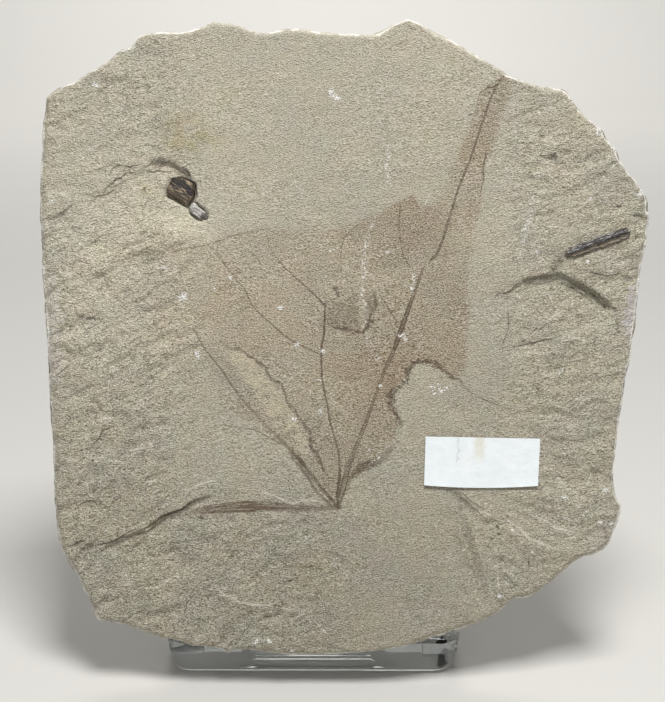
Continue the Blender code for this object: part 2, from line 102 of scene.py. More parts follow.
# Ledges of the split face: the ground falls to the right of each line, walked in order, by the drop
# over the edge and climbs back over the reach. A lip stands along it, growth is how much of the drop
# there is at the start and the end, and sway is how much the line wavers.
LEDGES = {
    "hollow wall": {
        "line": [(-76.0, 47.5), (-71.7, 51.7), (-65.4, 56.4), (-60.6, 57.6), (-55.9, 59.9),
                 (-49.6, 59.2), (-45.2, 55.8), (-42.9, 52.0)],
        "drop": 0.95, "reach": 11.0, "edge": 1.1, "lip": 0.12, "growth": (0.25, 1.0), "sway": 0.5,
    },
    "right step": {
        "line": [(51.2, 17.0), (54.3, 18.0), (57.5, 20.8), (60.6, 22.7), (65.4, 23.9), (71.7, 25.1),
                 (76.4, 22.4), (81.1, 20.2), (84.3, 18.0), (87.4, 15.4), (91.5, 11.5)],
        "drop": 1.9, "reach": 20.0, "edge": 1.5, "lip": 0.05, "growth": (0.5, 1.04), "sway": 0.3,
    },
    "lower left ledge": {
        "line": [(-86.0, -62.3), (-78.0, -60.2), (-71.7, -60.5), (-64.4, -57.6), (-58.1, -55.4),
                 (-53.7, -52.0), (-47.1, -49.8), (-41.7, -46.6), (-36.0, -45.2)],
        "drop": 0.5, "reach": 14.0, "edge": 0.7, "lip": 0.12, "growth": (0.8, 0.9), "sway": 0.2,
    },
    "lower right split": {
        "line": [(36.5, -42.0), (43.3, -47.9), (49.6, -53.6), (53.0, -58.0), (56.5, -64.0)],
        "drop": 0.55, "reach": 7.0, "edge": 1.0, "lip": 0.25, "growth": (1.0, 0.7), "sway": 0.6,
    },
    "lower right flute": {
        "line": [(39.5, -47.5), (40.8, -59.5), (44.9, -69.0), (48.4, -79.0)],
        "drop": 0.75, "reach": 8.0, "edge": 2.4, "lip": 0.0, "growth": (1.0, 1.0), "sway": 1.0,
    },
}
HOLLOW_UPPER_LINE = [
    (-73.0, 52.5), (-67.0, 57.0), (-60.5, 59.5), (-55.0, 62.0), (-50.0, 61.3), (-46.0, 58.5),
]

# Outlines of what lies on the face, then the level that the stone is kept to under each piece and
# how far the ground takes to get down to it.
CHIP = [(-52.4, 50.7), (-50.6, 53.9), (-47.4, 54.5), (-43.6, 52.6), (-43.3, 48.8), (-45.5, 45.4),
        (-49.3, 47.6), (-52.2, 49.1)]
SPLINTER = [(-45.3, 44.9), (-44.3, 46.6), (-43.1, 46.5), (-42.1, 45.2), (-41.1, 44.6), (-39.9, 43.5),
            (-39.8, 41.9), (-41.1, 41.4), (-42.7, 41.7), (-44.6, 43.2)]
LABEL = [(29.3, -26.9), (65.4, -27.6), (64.6, -42.4), (57.0, -42.9), (46.5, -43.1), (36.0, -42.6),
         (28.8, -42.2)]
TWIG_START = (73.7, 30.4)
TWIG_END = (93.4, 37.5)
TWIG_HALF_WIDTHS = [1.1, 1.6, 1.65, 1.65, 1.75, 1.9, 1.2]
SEATS = {"label": (-0.1, 2.2), "twig": (-0.3, 1.1), "chip": (-2.4, 0.7), "splinter": (-2.2, 0.6)}

# The leaf's lines and the scratches as they run on the picture, each with its half widths in
# millimetres and its strengths, from end to end.
FINE = (0.3, 0.24, 0.24)
SCRATCH = ((0.7, 0.8, 0.6), (0.8, 1.0, 0.7))
LEAF_LINES = {
    "midrib": [
        ([
            (338, 506), (349, 465), (368, 417), (384, 372), (393, 352), (423, 269),
        ], (1.0, 1.1, 0.9, 0.62, 0.55, 0.45, 0.5, 0.75, 0.75, 0.5, 0.35),
         (0.85, 0.85, 0.8, 0.72, 0.65, 0.58, 0.7, 1.0, 1.0, 0.85, 0.7)),
        ([
            (431, 260), (437, 254), (442, 242), (458, 190), (470, 160), (491, 97), (500, 80), (504, 76),
        ], (0.42, 0.4, 0.36, 0.34, 0.32, 0.3, 0.28), (0.85, 0.85, 0.85, 0.85, 0.85, 0.8, 0.7)),
    ],
    "centre_vein": [
        ([
            (338, 506), (337, 495), (340, 475), (339, 457), (338, 450), (329, 418), (328, 408), (322, 380),
            (321, 350), (324, 333), (325, 306),
        ], (0.5, 0.55, 0.38, 0.34, 0.34, 0.36, 0.38, 0.38, 0.34),
         (0.85, 0.85, 0.7, 0.65, 0.7, 0.75, 0.8, 0.85, 0.85)),
    ],
    "left_vein": [
        ([
            (193, 328), (204, 348), (224, 373), (238, 395), (271, 431), (300, 460), (321, 488), (338, 507),
        ], (0.24, 0.26, 0.3, 0.42, 0.7, 0.7, 0.85, 0.7, 0.5),
         (0.4, 0.65, 0.65, 0.42, 0.32, 0.48, 0.9, 0.85, 0.8)),
    ],
    "left_strand": [
        ([(291, 455), (310, 480), (314, 489), (330, 504)], (0.5, 0.6, 0.6, 0.5), (0.5, 0.7, 0.6, 0.6)),
    ],
    "fine_veins": [
        ([(325, 306), (318, 298), (285, 268), (272, 252), (269, 247), (266, 226)],
         FINE, (0.9, 0.75, 0.6, 0.2)),
        ([(325, 306), (328, 302), (341, 296)], FINE, (0.7, 0.4)),
        ([(218, 253), (227, 268), (245, 290), (251, 303), (256, 310), (286, 337), (292, 341), (319, 354)],
         FINE, (0.35, 0.6, 0.75, 0.65)),
        ([(400, 205), (399, 225), (401, 245), (403, 255), (406, 262), (411, 268)], FINE, (0.5, 0.65, 0.5)),
        ([(383, 300), (397, 322)], FINE, (0.6, 0.65)),
        ([(440, 256), (460, 251), (470, 247)], FINE, (0.4, 0.25)),
        ([(497, 85), (492, 88), (487, 88), (480, 93), (477, 104)], FINE, (0.9, 0.8, 0.4)),
        ([(470, 115), (478, 112)], FINE, (0.5, 0.5)),
        ([(222, 425), (255, 430), (281, 444)], FINE, (0.4, 0.6)),
        ([(361, 224), (352, 229), (344, 238), (341, 250), (341, 272)], FINE, (0.3, 0.5, 0.6, 0.3)),
        ([(252, 253), (256, 256), (260, 262)], FINE, (0.5, 0.4)),
        ([(172, 252), (184, 249), (196, 247), (206, 245), (216, 242), (232, 236), (262, 229)],
         FINE, (0.3, 0.55, 0.55, 0.3)),
        ([(486, 152), (483, 170), (484, 178), (482, 185), (481, 192)], FINE, (0.6, 0.75, 0.75, 0.5)),
    ],
    "gnawed_edge": [
        ([
            (470, 392), (460, 380), (450, 377), (440, 367), (431, 361), (425, 362), (420, 361), (413, 364),
            (409, 368), (408, 374), (407, 381), (401, 386), (396, 388), (392, 393), (391, 400), (391, 406),
            (394, 412), (398, 418), (400, 423),
        ], (0.4, 0.55, 0.75, 0.95, 1.0, 0.9, 1.15, 1.2, 0.8), (0.4, 0.7, 0.9, 1.0, 1.0, 0.95, 1.0, 1.0, 0.8)),
    ],
    "basal_scrap": [
        ([
            (347, 487), (350, 479), (354, 474), (364, 466), (376, 462), (383, 458), (392, 447), (398, 445),
        ], (0.5, 0.9, 1.3, 1.5, 1.3, 0.9, 0.5), (0.4, 0.65, 0.85, 0.9, 0.6, 0.55, 0.2)),
    ],
    "stalk": [
        ([
            (186, 514), (200, 511), (217, 509), (240, 507), (262, 506), (280, 507), (300, 508), (320, 508),
            (338, 507),
        ], (0.6, 1.5, 1.9, 2.0, 1.7, 1.2, 1.1, 0.8), (0.3, 0.85, 0.95, 0.95, 0.85, 0.72, 0.75, 0.8)),
    ],
    "tear": [
        ([
            (222, 343), (232, 349), (240, 350), (245, 353), (249, 358), (258, 361), (263, 365), (273, 380),
            (280, 385), (284, 391), (287, 401), (299, 415), (303, 423), (309, 431), (311, 449), (316, 453),
            (320, 460), (322, 467), (325, 470),
        ], (0.35, 0.45, 0.45, 0.5, 0.55, 0.75, 0.55), (0.4, 0.8, 0.75, 0.65, 0.7, 0.95, 0.75)),
    ],
    "patch_edge": [
        ([
            (374, 295), (376, 303), (373, 310), (370, 316), (371, 322), (367, 331), (361, 333), (354, 331),
            (345, 330), (338, 327), (331, 325), (325, 317),
        ], (0.6, 0.7, 0.6, 0.7, 0.5), (0.85, 0.8, 0.95, 0.85, 0.5)),
    ],
    "scratches": [
        ([(375, 220), (368, 235), (365, 255), (362, 290), (364, 320), (368, 340), (378, 360)], *SCRATCH),
        ([(387, 150), (389, 183)], *SCRATCH),
        ([(434, 187), (426, 200)], *SCRATCH),
        ([(540, 174), (534, 192), (531, 210), (527, 222), (522, 246), (520, 256)], *SCRATCH),
        ([(414, 275), (414, 290)], *SCRATCH),
    ],
}

# Lines that follow the stone's uneven breaks, not a smooth course.
RAGGED_LINES = ("gnawed_edge", "tear", "basal_scrap", "patch_edge", "scratches")

# Where sand fills the tear, where the torn patch is dark, and where the side is freshly broken.
SANDY_BAND = from_picture([
    (224, 349), (234, 351), (246, 355), (256, 364), (268, 380), (278, 392), (288, 408), (298, 424),
    (306, 438), (309, 452), (304, 456), (294, 446), (282, 433), (270, 417), (261, 404), (251, 388),
    (238, 370), (225, 355),
])
DARK_PATCH = from_picture([
    (328, 306), (355, 293), (368, 292), (374, 297), (377, 305), (375, 315), (370, 322), (368, 330),
    (360, 333), (345, 330), (332, 325), (327, 318),
])
FRESH_FACES = [
    from_picture([(626, 287), (637, 285), (632, 335), (621, 332), (625, 316)]),
    from_picture([(40, 262), (56, 272), (62, 300), (61, 350), (65, 358), (60, 385), (50, 392), (44, 330)]),
]

# The leaf's blade: its outline, and how soft the edge of the brown film is at each corner.
BLADE = from_picture([
    (123, 253, 7.0), (142, 237, 6.0), (158, 235, 5.0), (190, 246, 4.0), (210, 238, 3.0),
    (240, 230, 2.0), (266, 228, 1.6), (301, 230, 2.0), (328, 229, 2.2), (350, 226, 1.8),
    (371, 216, 1.2), (383, 211, 1.0), (399, 202, 0.7), (413, 194, 0.4), (418, 203, 0.9),
    (434, 207, 2.4), (445, 189, 1.6), (453, 170, 1.6), (461, 149, 1.4), (471, 126, 0.9),
    (477, 103, 0.6), (482, 91, 0.5), (502, 75, 1.0), (515, 76, 1.4), (509, 97, 1.4),
    (501, 122, 1.4), (491, 148, 1.2), (485, 173, 1.0), (482, 192, 0.9), (479, 214, 1.0),
    (474, 240, 1.2), (469, 265, 1.4), (469, 291, 1.6), (469, 319, 1.6), (467, 345, 1.8),
    (466, 364, 1.8), (458, 378, 1.2), (447, 375, 0.7), (434, 364, 0.5), (421, 361, 0.5),
    (410, 368, 0.5), (404, 378, 0.5), (393, 388, 0.5), (391, 400, 0.5), (395, 413, 0.6),
    (400, 421, 0.9), (393, 440, 1.2), (371, 462, 1.2), (352, 478, 1.0), (338, 507, 0.8),
    (320, 488, 0.8), (299, 461, 0.8), (271, 432, 1.2), (244, 416, 3.0), (212, 408, 4.0),
    (183, 376, 4.5), (161, 345, 5.0), (142, 313, 6.0), (123, 284, 7.0),
])

# How dense the film is at places on the slab's plane; it goes softly from one to the next.
FILM_DENSITY = [
    (24.4, 38.1, 1.0), (26.0, 46.0, 1.0), (38.6, 16.1, 0.8), (38.0, 0.0, 0.9), (8.7, -9.1, 0.85),
    (17.0, -8.0, 1.15), (-3.9, -15.4, 0.55), (-3.0, -32.0, 0.62), (-18.0, 24.4, 0.6), (-8.0, 32.0, 0.6),
    (-45.0, 19.0, 0.42), (-60.0, 26.0, 0.28), (44.0, 65.0, 0.85), (50.0, 80.0, 0.8), (40.0, 50.0, 0.5),
    (43.3, 35.0, 0.42), (46.0, 45.0, 0.75), (45.8, 3.5, 0.5), (-36.0, 12.0, 0.72), (-26.0, 0.0, 0.7),
    (-20.0, -10.0, 0.45), (-45.0, 2.0, 0.25), (-38.0, -14.0, 0.2), (10.0, 24.0, 0.5), (2.0, 24.0, 0.55),
    (16.0, 30.0, 0.8), (32.0, 22.0, 0.7), (11.0, -30.0, 0.75),
]

# Steps and cracks of the split as they run on the picture, left to right or downward: half width,
# how far the ground drops below the line, in millimetres, how dark its painted shadow or, below zero,
# how pale its painted highlight is, and the lines.
TRACES = {
    "deep crack and its shadow": (0.45, 0.50, 0.95, [
        [(142, 530), (152, 524), (161, 517), (169, 514), (183, 509), (189, 504), (196, 500), (212, 495)],
        [(180, 167), (186, 170), (189, 174), (191, 179)],
    ]),
    "shadow bands": (0.7, 0.40, 0.55, [
        [(43, 220), (50, 219), (58, 216), (66, 211), (72, 204)],
        [(146, 163), (153, 161), (160, 160), (168, 161), (174, 163), (181, 168)],
        [(52, 335), (56, 333), (60, 331), (64, 327), (67, 323)],
        [(520, 281), (528, 279), (537, 277), (547, 276), (556, 275)],
    ]),
    "soft shadow bands": (1.5, 0.0, 0.34, [
        [(458, 492), (461, 508), (464, 522), (468, 534), (472, 545), (478, 566), (485, 588), (491, 604)],
        [(553, 277), (564, 277), (572, 280), (582, 285), (590, 292), (598, 298), (606, 304), (614, 309)],
    ]),
    "cracks_and_shadows": (0.28, 0.22, 0.75, [
        [(66, 547), (72, 545), (80, 542), (88, 541)],
        [(76, 509), (81, 504), (88, 501), (96, 502), (102, 502)],
        [(88, 451), (94, 443), (99, 439), (102, 431), (105, 430), (112, 427), (119, 425)],
        [(144, 482), (147, 478), (150, 475)],
        [(56, 376), (61, 372), (67, 367), (73, 363)],
        [(91, 546), (100, 545), (114, 541), (124, 535), (136, 529), (144, 529)],
        [(576, 270), (583, 270), (597, 274), (606, 276), (614, 275), (624, 273)],
        [(627, 270), (633, 269), (640, 267)],
        [(505, 347), (516, 347), (524, 345), (542, 341), (556, 338), (565, 334)],
        [(493, 300), (499, 293), (505, 294), (511, 291), (516, 285), (521, 281)],
        [(561, 284), (572, 287), (580, 292), (589, 298), (592, 301)],
        [(614, 318), (617, 323), (619, 326)],
        [(496, 525), (500, 530)],
        [(500, 557), (505, 563)],
        [(529, 560), (529, 570)],
    ]),
    "hollow shadow lines": (0.27, 0.16, 0.68, [
        [(101, 197), (107, 187), (113, 183), (116, 179), (121, 178), (125, 174), (132, 172), (139, 173)],
        [(139, 173), (145, 170), (152, 172), (158, 170), (165, 172), (172, 171), (180, 174)],
        [(109, 176), (113, 168), (118, 165), (122, 166), (130, 167), (138, 165), (146, 163)],
        [(86, 194), (95, 197), (101, 196), (108, 194), (113, 190), (119, 188)],
        [(196, 593), (191, 598), (187, 603), (185, 611), (183, 620)],
    ]),
    "faint cracks and shadows": (0.24, 0.10, 0.5, [
        [(79, 262), (92, 264)],
        [(502, 572), (507, 576), (512, 582), (524, 591)],
        [(507, 300), (508, 309), (509, 328), (506, 336), (499, 351), (495, 357)],
        [(454, 490), (462, 493), (469, 500), (475, 504), (481, 508), (488, 517)],
        [(113, 263), (120, 260), (132, 258)],
        [(136, 149), (140, 146), (148, 145), (156, 147)],
        [(96, 350), (101, 350), (104, 347)],
        [(82, 343), (88, 339)],
        [(72, 392), (78, 386)],
        [(132, 405), (138, 403)],
        [(71, 415), (77, 411)],
        [(532, 302), (540, 304)],
        [(535, 395), (540, 389)],
        [(601, 314), (606, 317)],
        [(607, 334), (614, 335), (624, 336)],
        [(602, 169), (607, 175)],
        [(542, 226), (550, 229)],
        [(392, 46), (399, 45), (405, 41)],
        [(408, 25), (413, 30), (418, 30)],
        [(470, 392), (488, 402), (507, 408)],
        [(173, 345), (199, 345)],
        [(510, 561), (514, 564)],
    ]),
    "strong lit ridges": (0.45, -0.35, -0.75, [
        [(112, 453), (122, 452), (140, 449), (148, 448)],
        [(97, 420), (106, 419), (115, 418)],
        [(206, 583), (213, 585), (224, 595), (230, 597), (238, 602), (253, 605), (269, 606), (280, 602)],
        [(507, 521), (514, 525), (522, 531), (529, 539), (540, 543), (552, 548), (565, 551)],
        [(529, 514), (538, 518), (548, 522), (555, 528), (576, 533), (584, 536), (595, 542)],
        [(481, 510), (486, 514), (492, 516)],
        [(44, 195), (55, 191), (65, 196), (72, 203)],
    ]),
    "ridges_and_highlights": (0.4, -0.22, -0.62, [
        [(86, 462), (93, 458), (102, 458), (111, 458)],
        [(64, 462), (76, 461)],
        [(142, 485), (148, 482), (160, 481)],
        [(180, 489), (188, 490), (202, 484), (220, 479)],
        [(153, 494), (160, 489)],
        [(146, 589), (161, 587), (167, 581), (174, 577), (194, 577)],
        [(80, 327), (94, 326)],
        [(80, 403), (89, 405), (96, 405)],
        [(234, 592), (239, 589), (248, 587), (255, 583), (260, 580)],
        [(281, 608), (287, 610), (293, 614)],
        [(294, 620), (301, 615), (306, 613)],
        [(314, 621), (321, 628), (329, 636)],
        [(256, 494), (265, 493), (273, 495), (286, 502), (293, 504), (302, 501), (324, 502)],
        [(546, 462), (552, 470), (559, 479), (567, 488), (583, 498), (591, 502)],
        [(498, 566), (498, 580), (499, 596)],
        [(596, 190), (590, 200), (578, 210), (572, 215)],
        [(565, 341), (578, 338), (590, 343)],
    ]),
}

# White flecks and dark spots of the split face: places on the picture, half width, half height.
FLECKS = from_picture([
    (331, 92, 0.8, 1.1), (337, 98, 1.2, 0.8), (95, 85, 1.0, 0.7), (280, 308, 1.3, 0.8),
    (183, 297, 1.5, 1.0), (230, 277, 0.6, 0.6), (198, 355, 0.7, 1.2), (294, 419, 1.2, 0.6),
    (320, 412, 0.7, 0.9), (387, 252, 0.8, 0.5), (297, 345, 0.8, 0.8), (323, 351, 0.8, 0.6),
    (163, 267, 0.9, 0.4), (565, 497, 1.4, 0.8),
    (606, 490, 1.0, 0.6), (585, 515, 0.8, 0.4), (600, 522, 1.0, 0.4), (612, 524, 0.9, 0.6),
    (500, 596, 0.8, 0.5), (257, 640, 0.6, 0.6), (270, 642, 0.7, 0.4), (412, 288, 0.7, 0.5),
    (380, 386, 0.6, 0.6), (320, 380, 0.6, 0.5), (369, 450, 0.5, 0.4), (378, 458, 0.6, 0.4),
    (372, 461, 0.4, 0.3), (431, 387, 0.7, 0.4), (438, 384, 0.5, 0.5), (441, 391, 0.8, 0.5),
    (434, 394, 0.4, 0.3), (446, 388, 0.4, 0.4), (330, 251, 0.5, 0.3), (337, 248, 0.5, 0.3),
    (400, 336, 0.6, 0.4), (406, 340, 0.5, 0.4), (404, 334, 0.3, 0.3),
    (185, 295, 0.8, 0.6), (196, 353, 0.5, 0.9), (164, 267, 0.6, 0.3), (214, 288, 0.5, 0.5),
    (254, 643, 0.8, 0.3), (268, 639, 0.8, 0.3), (292, 651, 0.8, 0.4), (587, 262, 0.7, 0.6),
    (519, 296, 0.8, 0.5), (538, 253, 0.4, 0.8), (563, 369, 0.5, 0.4), (547, 370, 0.5, 0.4),
    (559, 374, 0.6, 0.3), (620, 370, 0.4, 0.4), (567, 497, 1.0, 0.4), (586, 512, 0.6, 0.5),
    (604, 490, 0.4, 0.4), (600, 519, 0.5, 0.3), (509, 521, 0.5, 0.4), (512, 530, 0.4, 0.4),
    (532, 552, 0.5, 0.4), (565, 518, 0.5, 0.3), (501, 596, 0.5, 0.5), (464, 550, 0.5, 0.5),
    (590, 199, 0.6, 0.5), (52, 201, 0.8, 0.6), (641, 194, 0.9, 0.8), (598, 131, 0.9, 1.5),
])
SPOTS = from_picture([
    (542, 136, 0.9, 0.6), (553, 156, 1.7, 1.0), (531, 152, 0.6, 0.3), (523, 143, 0.6, 0.3),
    (530, 172, 0.6, 0.3), (518, 173, 0.6, 0.3), (564, 187, 0.6, 0.3), (619, 206, 1.1, 0.6),
    (638, 215, 2.2, 0.8), (547, 250, 0.5, 0.4), (523, 369, 0.4, 0.4), (547, 309, 0.4, 0.3),
    (562, 317, 0.4, 0.3), (149, 236, 0.5, 0.3), (74, 376, 0.5, 0.4), (151, 376, 0.5, 0.4),
    (146, 400, 0.5, 0.3), (172, 345, 0.4, 0.4), (499, 534, 0.7, 0.6), (492, 539, 0.6, 0.4),
    (583, 480, 0.4, 0.4), (201, 518, 0.9, 0.9), (144, 189, 0.6, 0.5), (148, 190, 0.4, 0.4),
    (311, 566, 0.7, 0.5), (285, 564, 0.8, 0.6), (290, 581, 0.8, 0.6), (146, 461, 0.3, 0.6),
    (90, 318, 2.6, 0.8), (470, 115, 0.7, 0.4), (335, 289, 0.9, 1.1), (338, 295, 0.7, 0.7),
])

# Broad shades of the stone, some of them painted light and painted shade: middle, half width,
# half height, turn in degrees, and amount.
SHADES = {
    # Painted light on the hollow's lower slope.
    "painted light under the hollow": (-48.0, 41.0, 9.0, 5.0, -12.0, 0.22),
    # Painted light at the left, where the key light falls less.
    "painted light at the left": (-64.0, 30.0, 42.0, 42.0, 0.0, 0.22),
    "bright leaf": (-8.0, 8.0, 32.0, 32.0, 0.0, 0.05),
    "bright right field": (60.0, 52.0, 20.0, 28.0, 0.0, 0.05),
    "pale right plume": (70.0, -50.0, 22.0, 26.0, 24.0, 0.09),
    "grey plume": (50.0, -62.0, 9.0, 14.0, 30.0, 0.02),
    "dull below the gnawed edge": (48.0, -20.0, 22.0, 14.0, -28.0, -0.04),
    # Painted shade towards the foot, where the light falls off.
    "painted shade at the foot": (10.0, -78.0, 70.0, 38.0, 0.0, -0.13),
    "pale foot stripe": (46.0, -74.0, 3.0, 16.0, 8.0, 0.06),
    "dull left foot": (-68.0, -52.0, 16.0, 9.0, 12.0, -0.05),
    "smear above the arc": (71.0, 27.7, 4.4, 1.5, 48.0, -0.5),
    "pale by the label": (63.0, -1.0, 4.0, 3.0, 0.0, 0.08),
    "streak over the patch": (24.5, 26.0, 15.0, 1.6, 20.0, 0.09),
    "streak in the patch": (9.0, 13.0, 0.9, 6.0, -4.0, 0.16),
    # More painted light at the left.
    "more painted light at the left": (-78.0, 24.0, 22.0, 26.0, 0.0, 0.08),
    "duller foot edge": (-20.0, -88.0, 60.0, 12.0, 0.0, -0.03),
    "dull beside the left vein": (-33.0, -8.0, 3.5, 13.0, 38.0, -0.11),
    "shadow by the label": (37.5, -43.5, 3.0, 1.6, -35.0, -0.12),
    "pale left lobe": (-83.0, 3.5, 5.0, 2.0, 0.0, 0.08),
    "pale left": (-69.0, 11.0, 5.0, 3.0, 0.0, 0.06),
    "pale foot": (-33.0, -70.0, 5.0, 2.2, 0.0, 0.07),
}

# Where the rim is broken off wider, and where the stone is stained, given in the same way.
RIM_BEVELS = {
    "left edge": (-90.0, -10.0, 8.0, 45.0, 0.0, 1.3),
    "right edge": (96.0, 9.0, 9.0, 9.0, 0.0, 3.0),
    "upper right chip": (86.0, 66.0, 5.0, 5.0, 0.0, 1.4),
    "right corner": (98.0, 44.0, 4.0, 8.0, 0.0, 1.2),
    "top left chip": (-63.0, 96.0, 4.0, 3.0, 0.0, 1.2),
}
STAINS = {
    "green stain": (-47.0, 68.0, 6.5, 6.5, 0.0, 1.0),
    "green stain tail": (-39.0, 66.5, 5.0, 2.5, 0.0, 0.5),
    "hollow stain": (-59.0, 51.0, 3.0, 1.6, -20.0, 1.0),
    "foot stain": (-10.0, -69.0, 8.0, 5.0, 0.0, 0.5),
}


def screen(red, green, blue):
    """A colour as it looks on a screen, 0 to 255, made linear."""
    linear = []
    for value in (red, green, blue):
        share = value / 255.0
        if share <= 0.04045:
            linear.append(share / 12.92)
        else:
            linear.append(((share + 0.055) / 1.055) ** 2.4)
    return tuple(linear)


def colour_setting(name, description, shade):
    """A colour that the user may change."""
    return bpy.props.FloatVectorProperty(
        name=name, description=description, default=screen(*shade), subtype="COLOR",
        size=3, min=0.0, max=1.0,
    )


def length_setting(name, description, millimetres):
    """A length that the user may change, kept in metres."""
    return bpy.props.FloatProperty(
        name=name, description=description, default=millimetres * MM, min=0.0, unit="LENGTH",
        precision=5,
    )


def share_setting(name, description, value):
    """A share from none to full that the user may change."""
    return bpy.props.FloatProperty(
        name=name, description=description, default=value, min=0.0, max=1.0, subtype="FACTOR",
    )


class FossilSlabSettings(bpy.types.PropertyGroup):
    stone: colour_setting("Stone", "The shale's own colour", (173, 167, 150))
    pale_stone: colour_setting("Pale stone", "Fresh chips along the rim", (214, 208, 194))
    film: colour_setting("Leaf film", "What the leaf's brown film does to the stone", (229, 219, 212))
    vein: colour_setting("Veins", "The leaf's veins and stalk", (88, 75, 61))
    terrace: length_setting("Terrace height", "Height of the bedding ledges at the rough sides", 0.95)
    ripple: length_setting("Ripple height", "Height of the drawn out ripples at the rough sides", 0.27)
    grain: length_setting("Grain depth", "Depth of the fine grain in the finish", 0.055)
    chipping: length_setting("Rim chipping", "How far the rim is nicked", 0.35)
    lamination: length_setting("Lamination", "How far the layers stand out in the broken side", 0.35)


class FossilWoodSettings(bpy.types.PropertyGroup):
    charcoal: colour_setting("Charcoal", "The dark of the charred wood", (36, 30, 26))
    brown: colour_setting("Brown wood", "The lighter lines of the charred wood", (168, 149, 121))
    mineral: colour_setting("Mineral", "The pale filling of the splinter", (206, 204, 200))
    twig: colour_setting("Twig", "The charred twig", (50, 46, 44))
    grain: length_setting("Grain height", "Height of the wood's grain", 0.22)


class FossilLabelSettings(bpy.types.PropertyGroup):
    paper: colour_setting("Paper", "The label's paper", (236, 241, 242))
    thickness: length_setting("Thickness", "The paper's thickness", 0.14)
    lift: length_setting("Lift", "How far the lower edge stands off the stone", 0.55)


class FossilStandSettings(bpy.types.PropertyGroup):
    plastic: colour_setting("Plastic", "The tint of the clear plastic", (246, 250, 251))
    clearness: share_setting("Clearness", "How much light goes through", 1.0)


class FossilStageSettings(bpy.types.PropertyGroup):
    floor: colour_setting("Floor", "The floor and backdrop", (204, 202, 197))
    key_power: bpy.props.FloatProperty(
        name="Key light", description="Power of the light above the slab", default=6.6, min=0.0,
        unit="POWER",
    )
    fill_power: bpy.props.FloatProperty(
        name="Fill light", description="Power of the soft light beside the camera", default=2.0,
        min=0.0, unit="POWER",
    )
    back_power: bpy.props.FloatProperty(
        name="Backdrop light", description="Power of the light on the backdrop", default=30.0,
        min=0.0, unit="POWER",
    )
    ambient: share_setting("Ambient", "Light from all round", 0.22)


def focus(piece):
    """Leaves one piece selected and active."""
    bpy.ops.object.select_all(action="DESELECT")
    piece.select_set(True)
    bpy.context.view_layer.objects.active = piece


def copy_of(node, name):
    """A new piece with its own merged copy of a CAD node's mesh, in the slab's plane."""
    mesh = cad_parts[node].data.copy()
    mesh.name = name
    mesh.materials.clear()
    piece = bpy.data.objects.new(name, mesh)
    bpy.context.collection.objects.link(piece)
    mesh.transform(TO_PLANE)
    focus(piece)
    edit_all()
    bpy.ops.mesh.remove_doubles(threshold=0.002)
    bpy.ops.mesh.customdata_custom_splitnormals_clear()
    bpy.ops.object.mode_set(mode="OBJECT")
    return piece


def settle(piece, node, material):
    """Puts a finished piece back in the frame, on its body and in its finish."""
    piece.data.transform(FROM_PLANE)
    piece.data.materials.clear()
    piece.data.materials.append(material)
    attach(piece, "root")
    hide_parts(node)


def edit_all():
    """Goes into edit mode with the whole of the active piece selected."""
    bpy.ops.object.mode_set(mode="EDIT")
    bpy.ops.mesh.select_all(action="SELECT")


def places(mesh, kind="co"):
    """The mesh's vertices, or with the kind normal their normals, as an array."""
    flat = np.empty(len(mesh.vertices) * 3)
    mesh.vertices.foreach_get(kind, flat)
    return flat.reshape(-1, 3)


def put_places(mesh, points):
    """Moves the mesh's vertices to new places."""
    mesh.vertices.foreach_set("co", points.astype(np.float32).ravel())
    mesh.update()


def keep(mesh, name, values):
    """Stores one number, or three, for each vertex."""
    kind, field = ("FLOAT", "value") if values.ndim == 1 else ("FLOAT_VECTOR", "vector")
    attribute = mesh.attributes.new(name, kind, "POINT")
    attribute.data.foreach_set(field, values.astype(np.float32).ravel())


def along_across(x, y, turn):
    """How far places are along a direction in the plane, and across it."""
    c = math.cos(turn)
    s = math.sin(turn)
    return x * c + y * s, y * c - x * s


def soft(value):
    """A soft step from 0 to 1 as value goes from 0 to 1."""
    share = np.clip(value, 0.0, 1.0)
    return share * share * (3.0 - 2.0 * share)


def stepped(share, steps):
    """A soft fall from 0 to 1 that goes down in a few small steps."""
    share = np.clip(share, 0.0, 1.0)
    part = share * steps
    level = np.floor(part)
    return np.clip((level + soft((part - level) / 0.7)) / steps, 0.0, 1.0)


def tapered(progress, share):
    """Full along a line, and softly down to nothing over a share of it at each end."""
    return soft(progress / share) * soft((1.0 - progress) / share)


def noisy(x, y, level, across, up=None):
    """Soft noise at many places, with so many waves a millimetre across and up."""
    pairs = zip((x * across).tolist(), (y * (up or across)).tolist())
    return np.array([noise.noise(Vector((a, b, level))) for a, b in pairs])


def noisy_in_space(points, level, scale):
    """Soft noise at many points in space."""
    triples = (points * np.array(scale)).tolist()
    return np.array([noise.noise(Vector((a, b, c + level))) for a, b, c in triples])


def line_place(x, y, line, closed=False):
    """Signed distance to a line, positive on its right, plain distance, and progress from 0 to 1."""
    corners = [point[:2] for point in line]
    if closed:
        corners = corners + corners[:1]
    nearest = np.full(len(x), 1.0e9)
    signed = np.zeros(len(x))
    progress = np.zeros(len(x))
    passed = stations(corners)
    for (ax, ay), (bx, by), before, after in zip(corners, corners[1:], passed, passed[1:]):
        ux = bx - ax
        uy = by - ay
        share = np.clip(((x - ax) * ux + (y - ay) * uy) / (ux * ux + uy * uy), 0.0, 1.0)
        ox = x - ax - share * ux
        oy = y - ay - share * uy
        distance = np.hypot(ox, oy)
        better = distance < nearest
        nearest[better] = distance[better]
        side = np.where(ux * oy - uy * ox < 0.0, distance, -distance)
        signed[better] = side[better]
        progress[better] = (before + share * (after - before))[better]
    return signed, nearest, progress


def unit_ways(ways):
    """Directions in the plane, each made one long."""
    return ways / np.maximum(np.linalg.norm(ways, axis=1), 1.0e-6)[:, None]


def stations(corners):
    """How far along a line each of its corners is, from 0 to 1."""
    steps = [math.dist(a[:2], b[:2]) for a, b in zip(corners, corners[1:])]
    return np.concatenate([[0.0], np.cumsum(steps)]) / sum(steps)


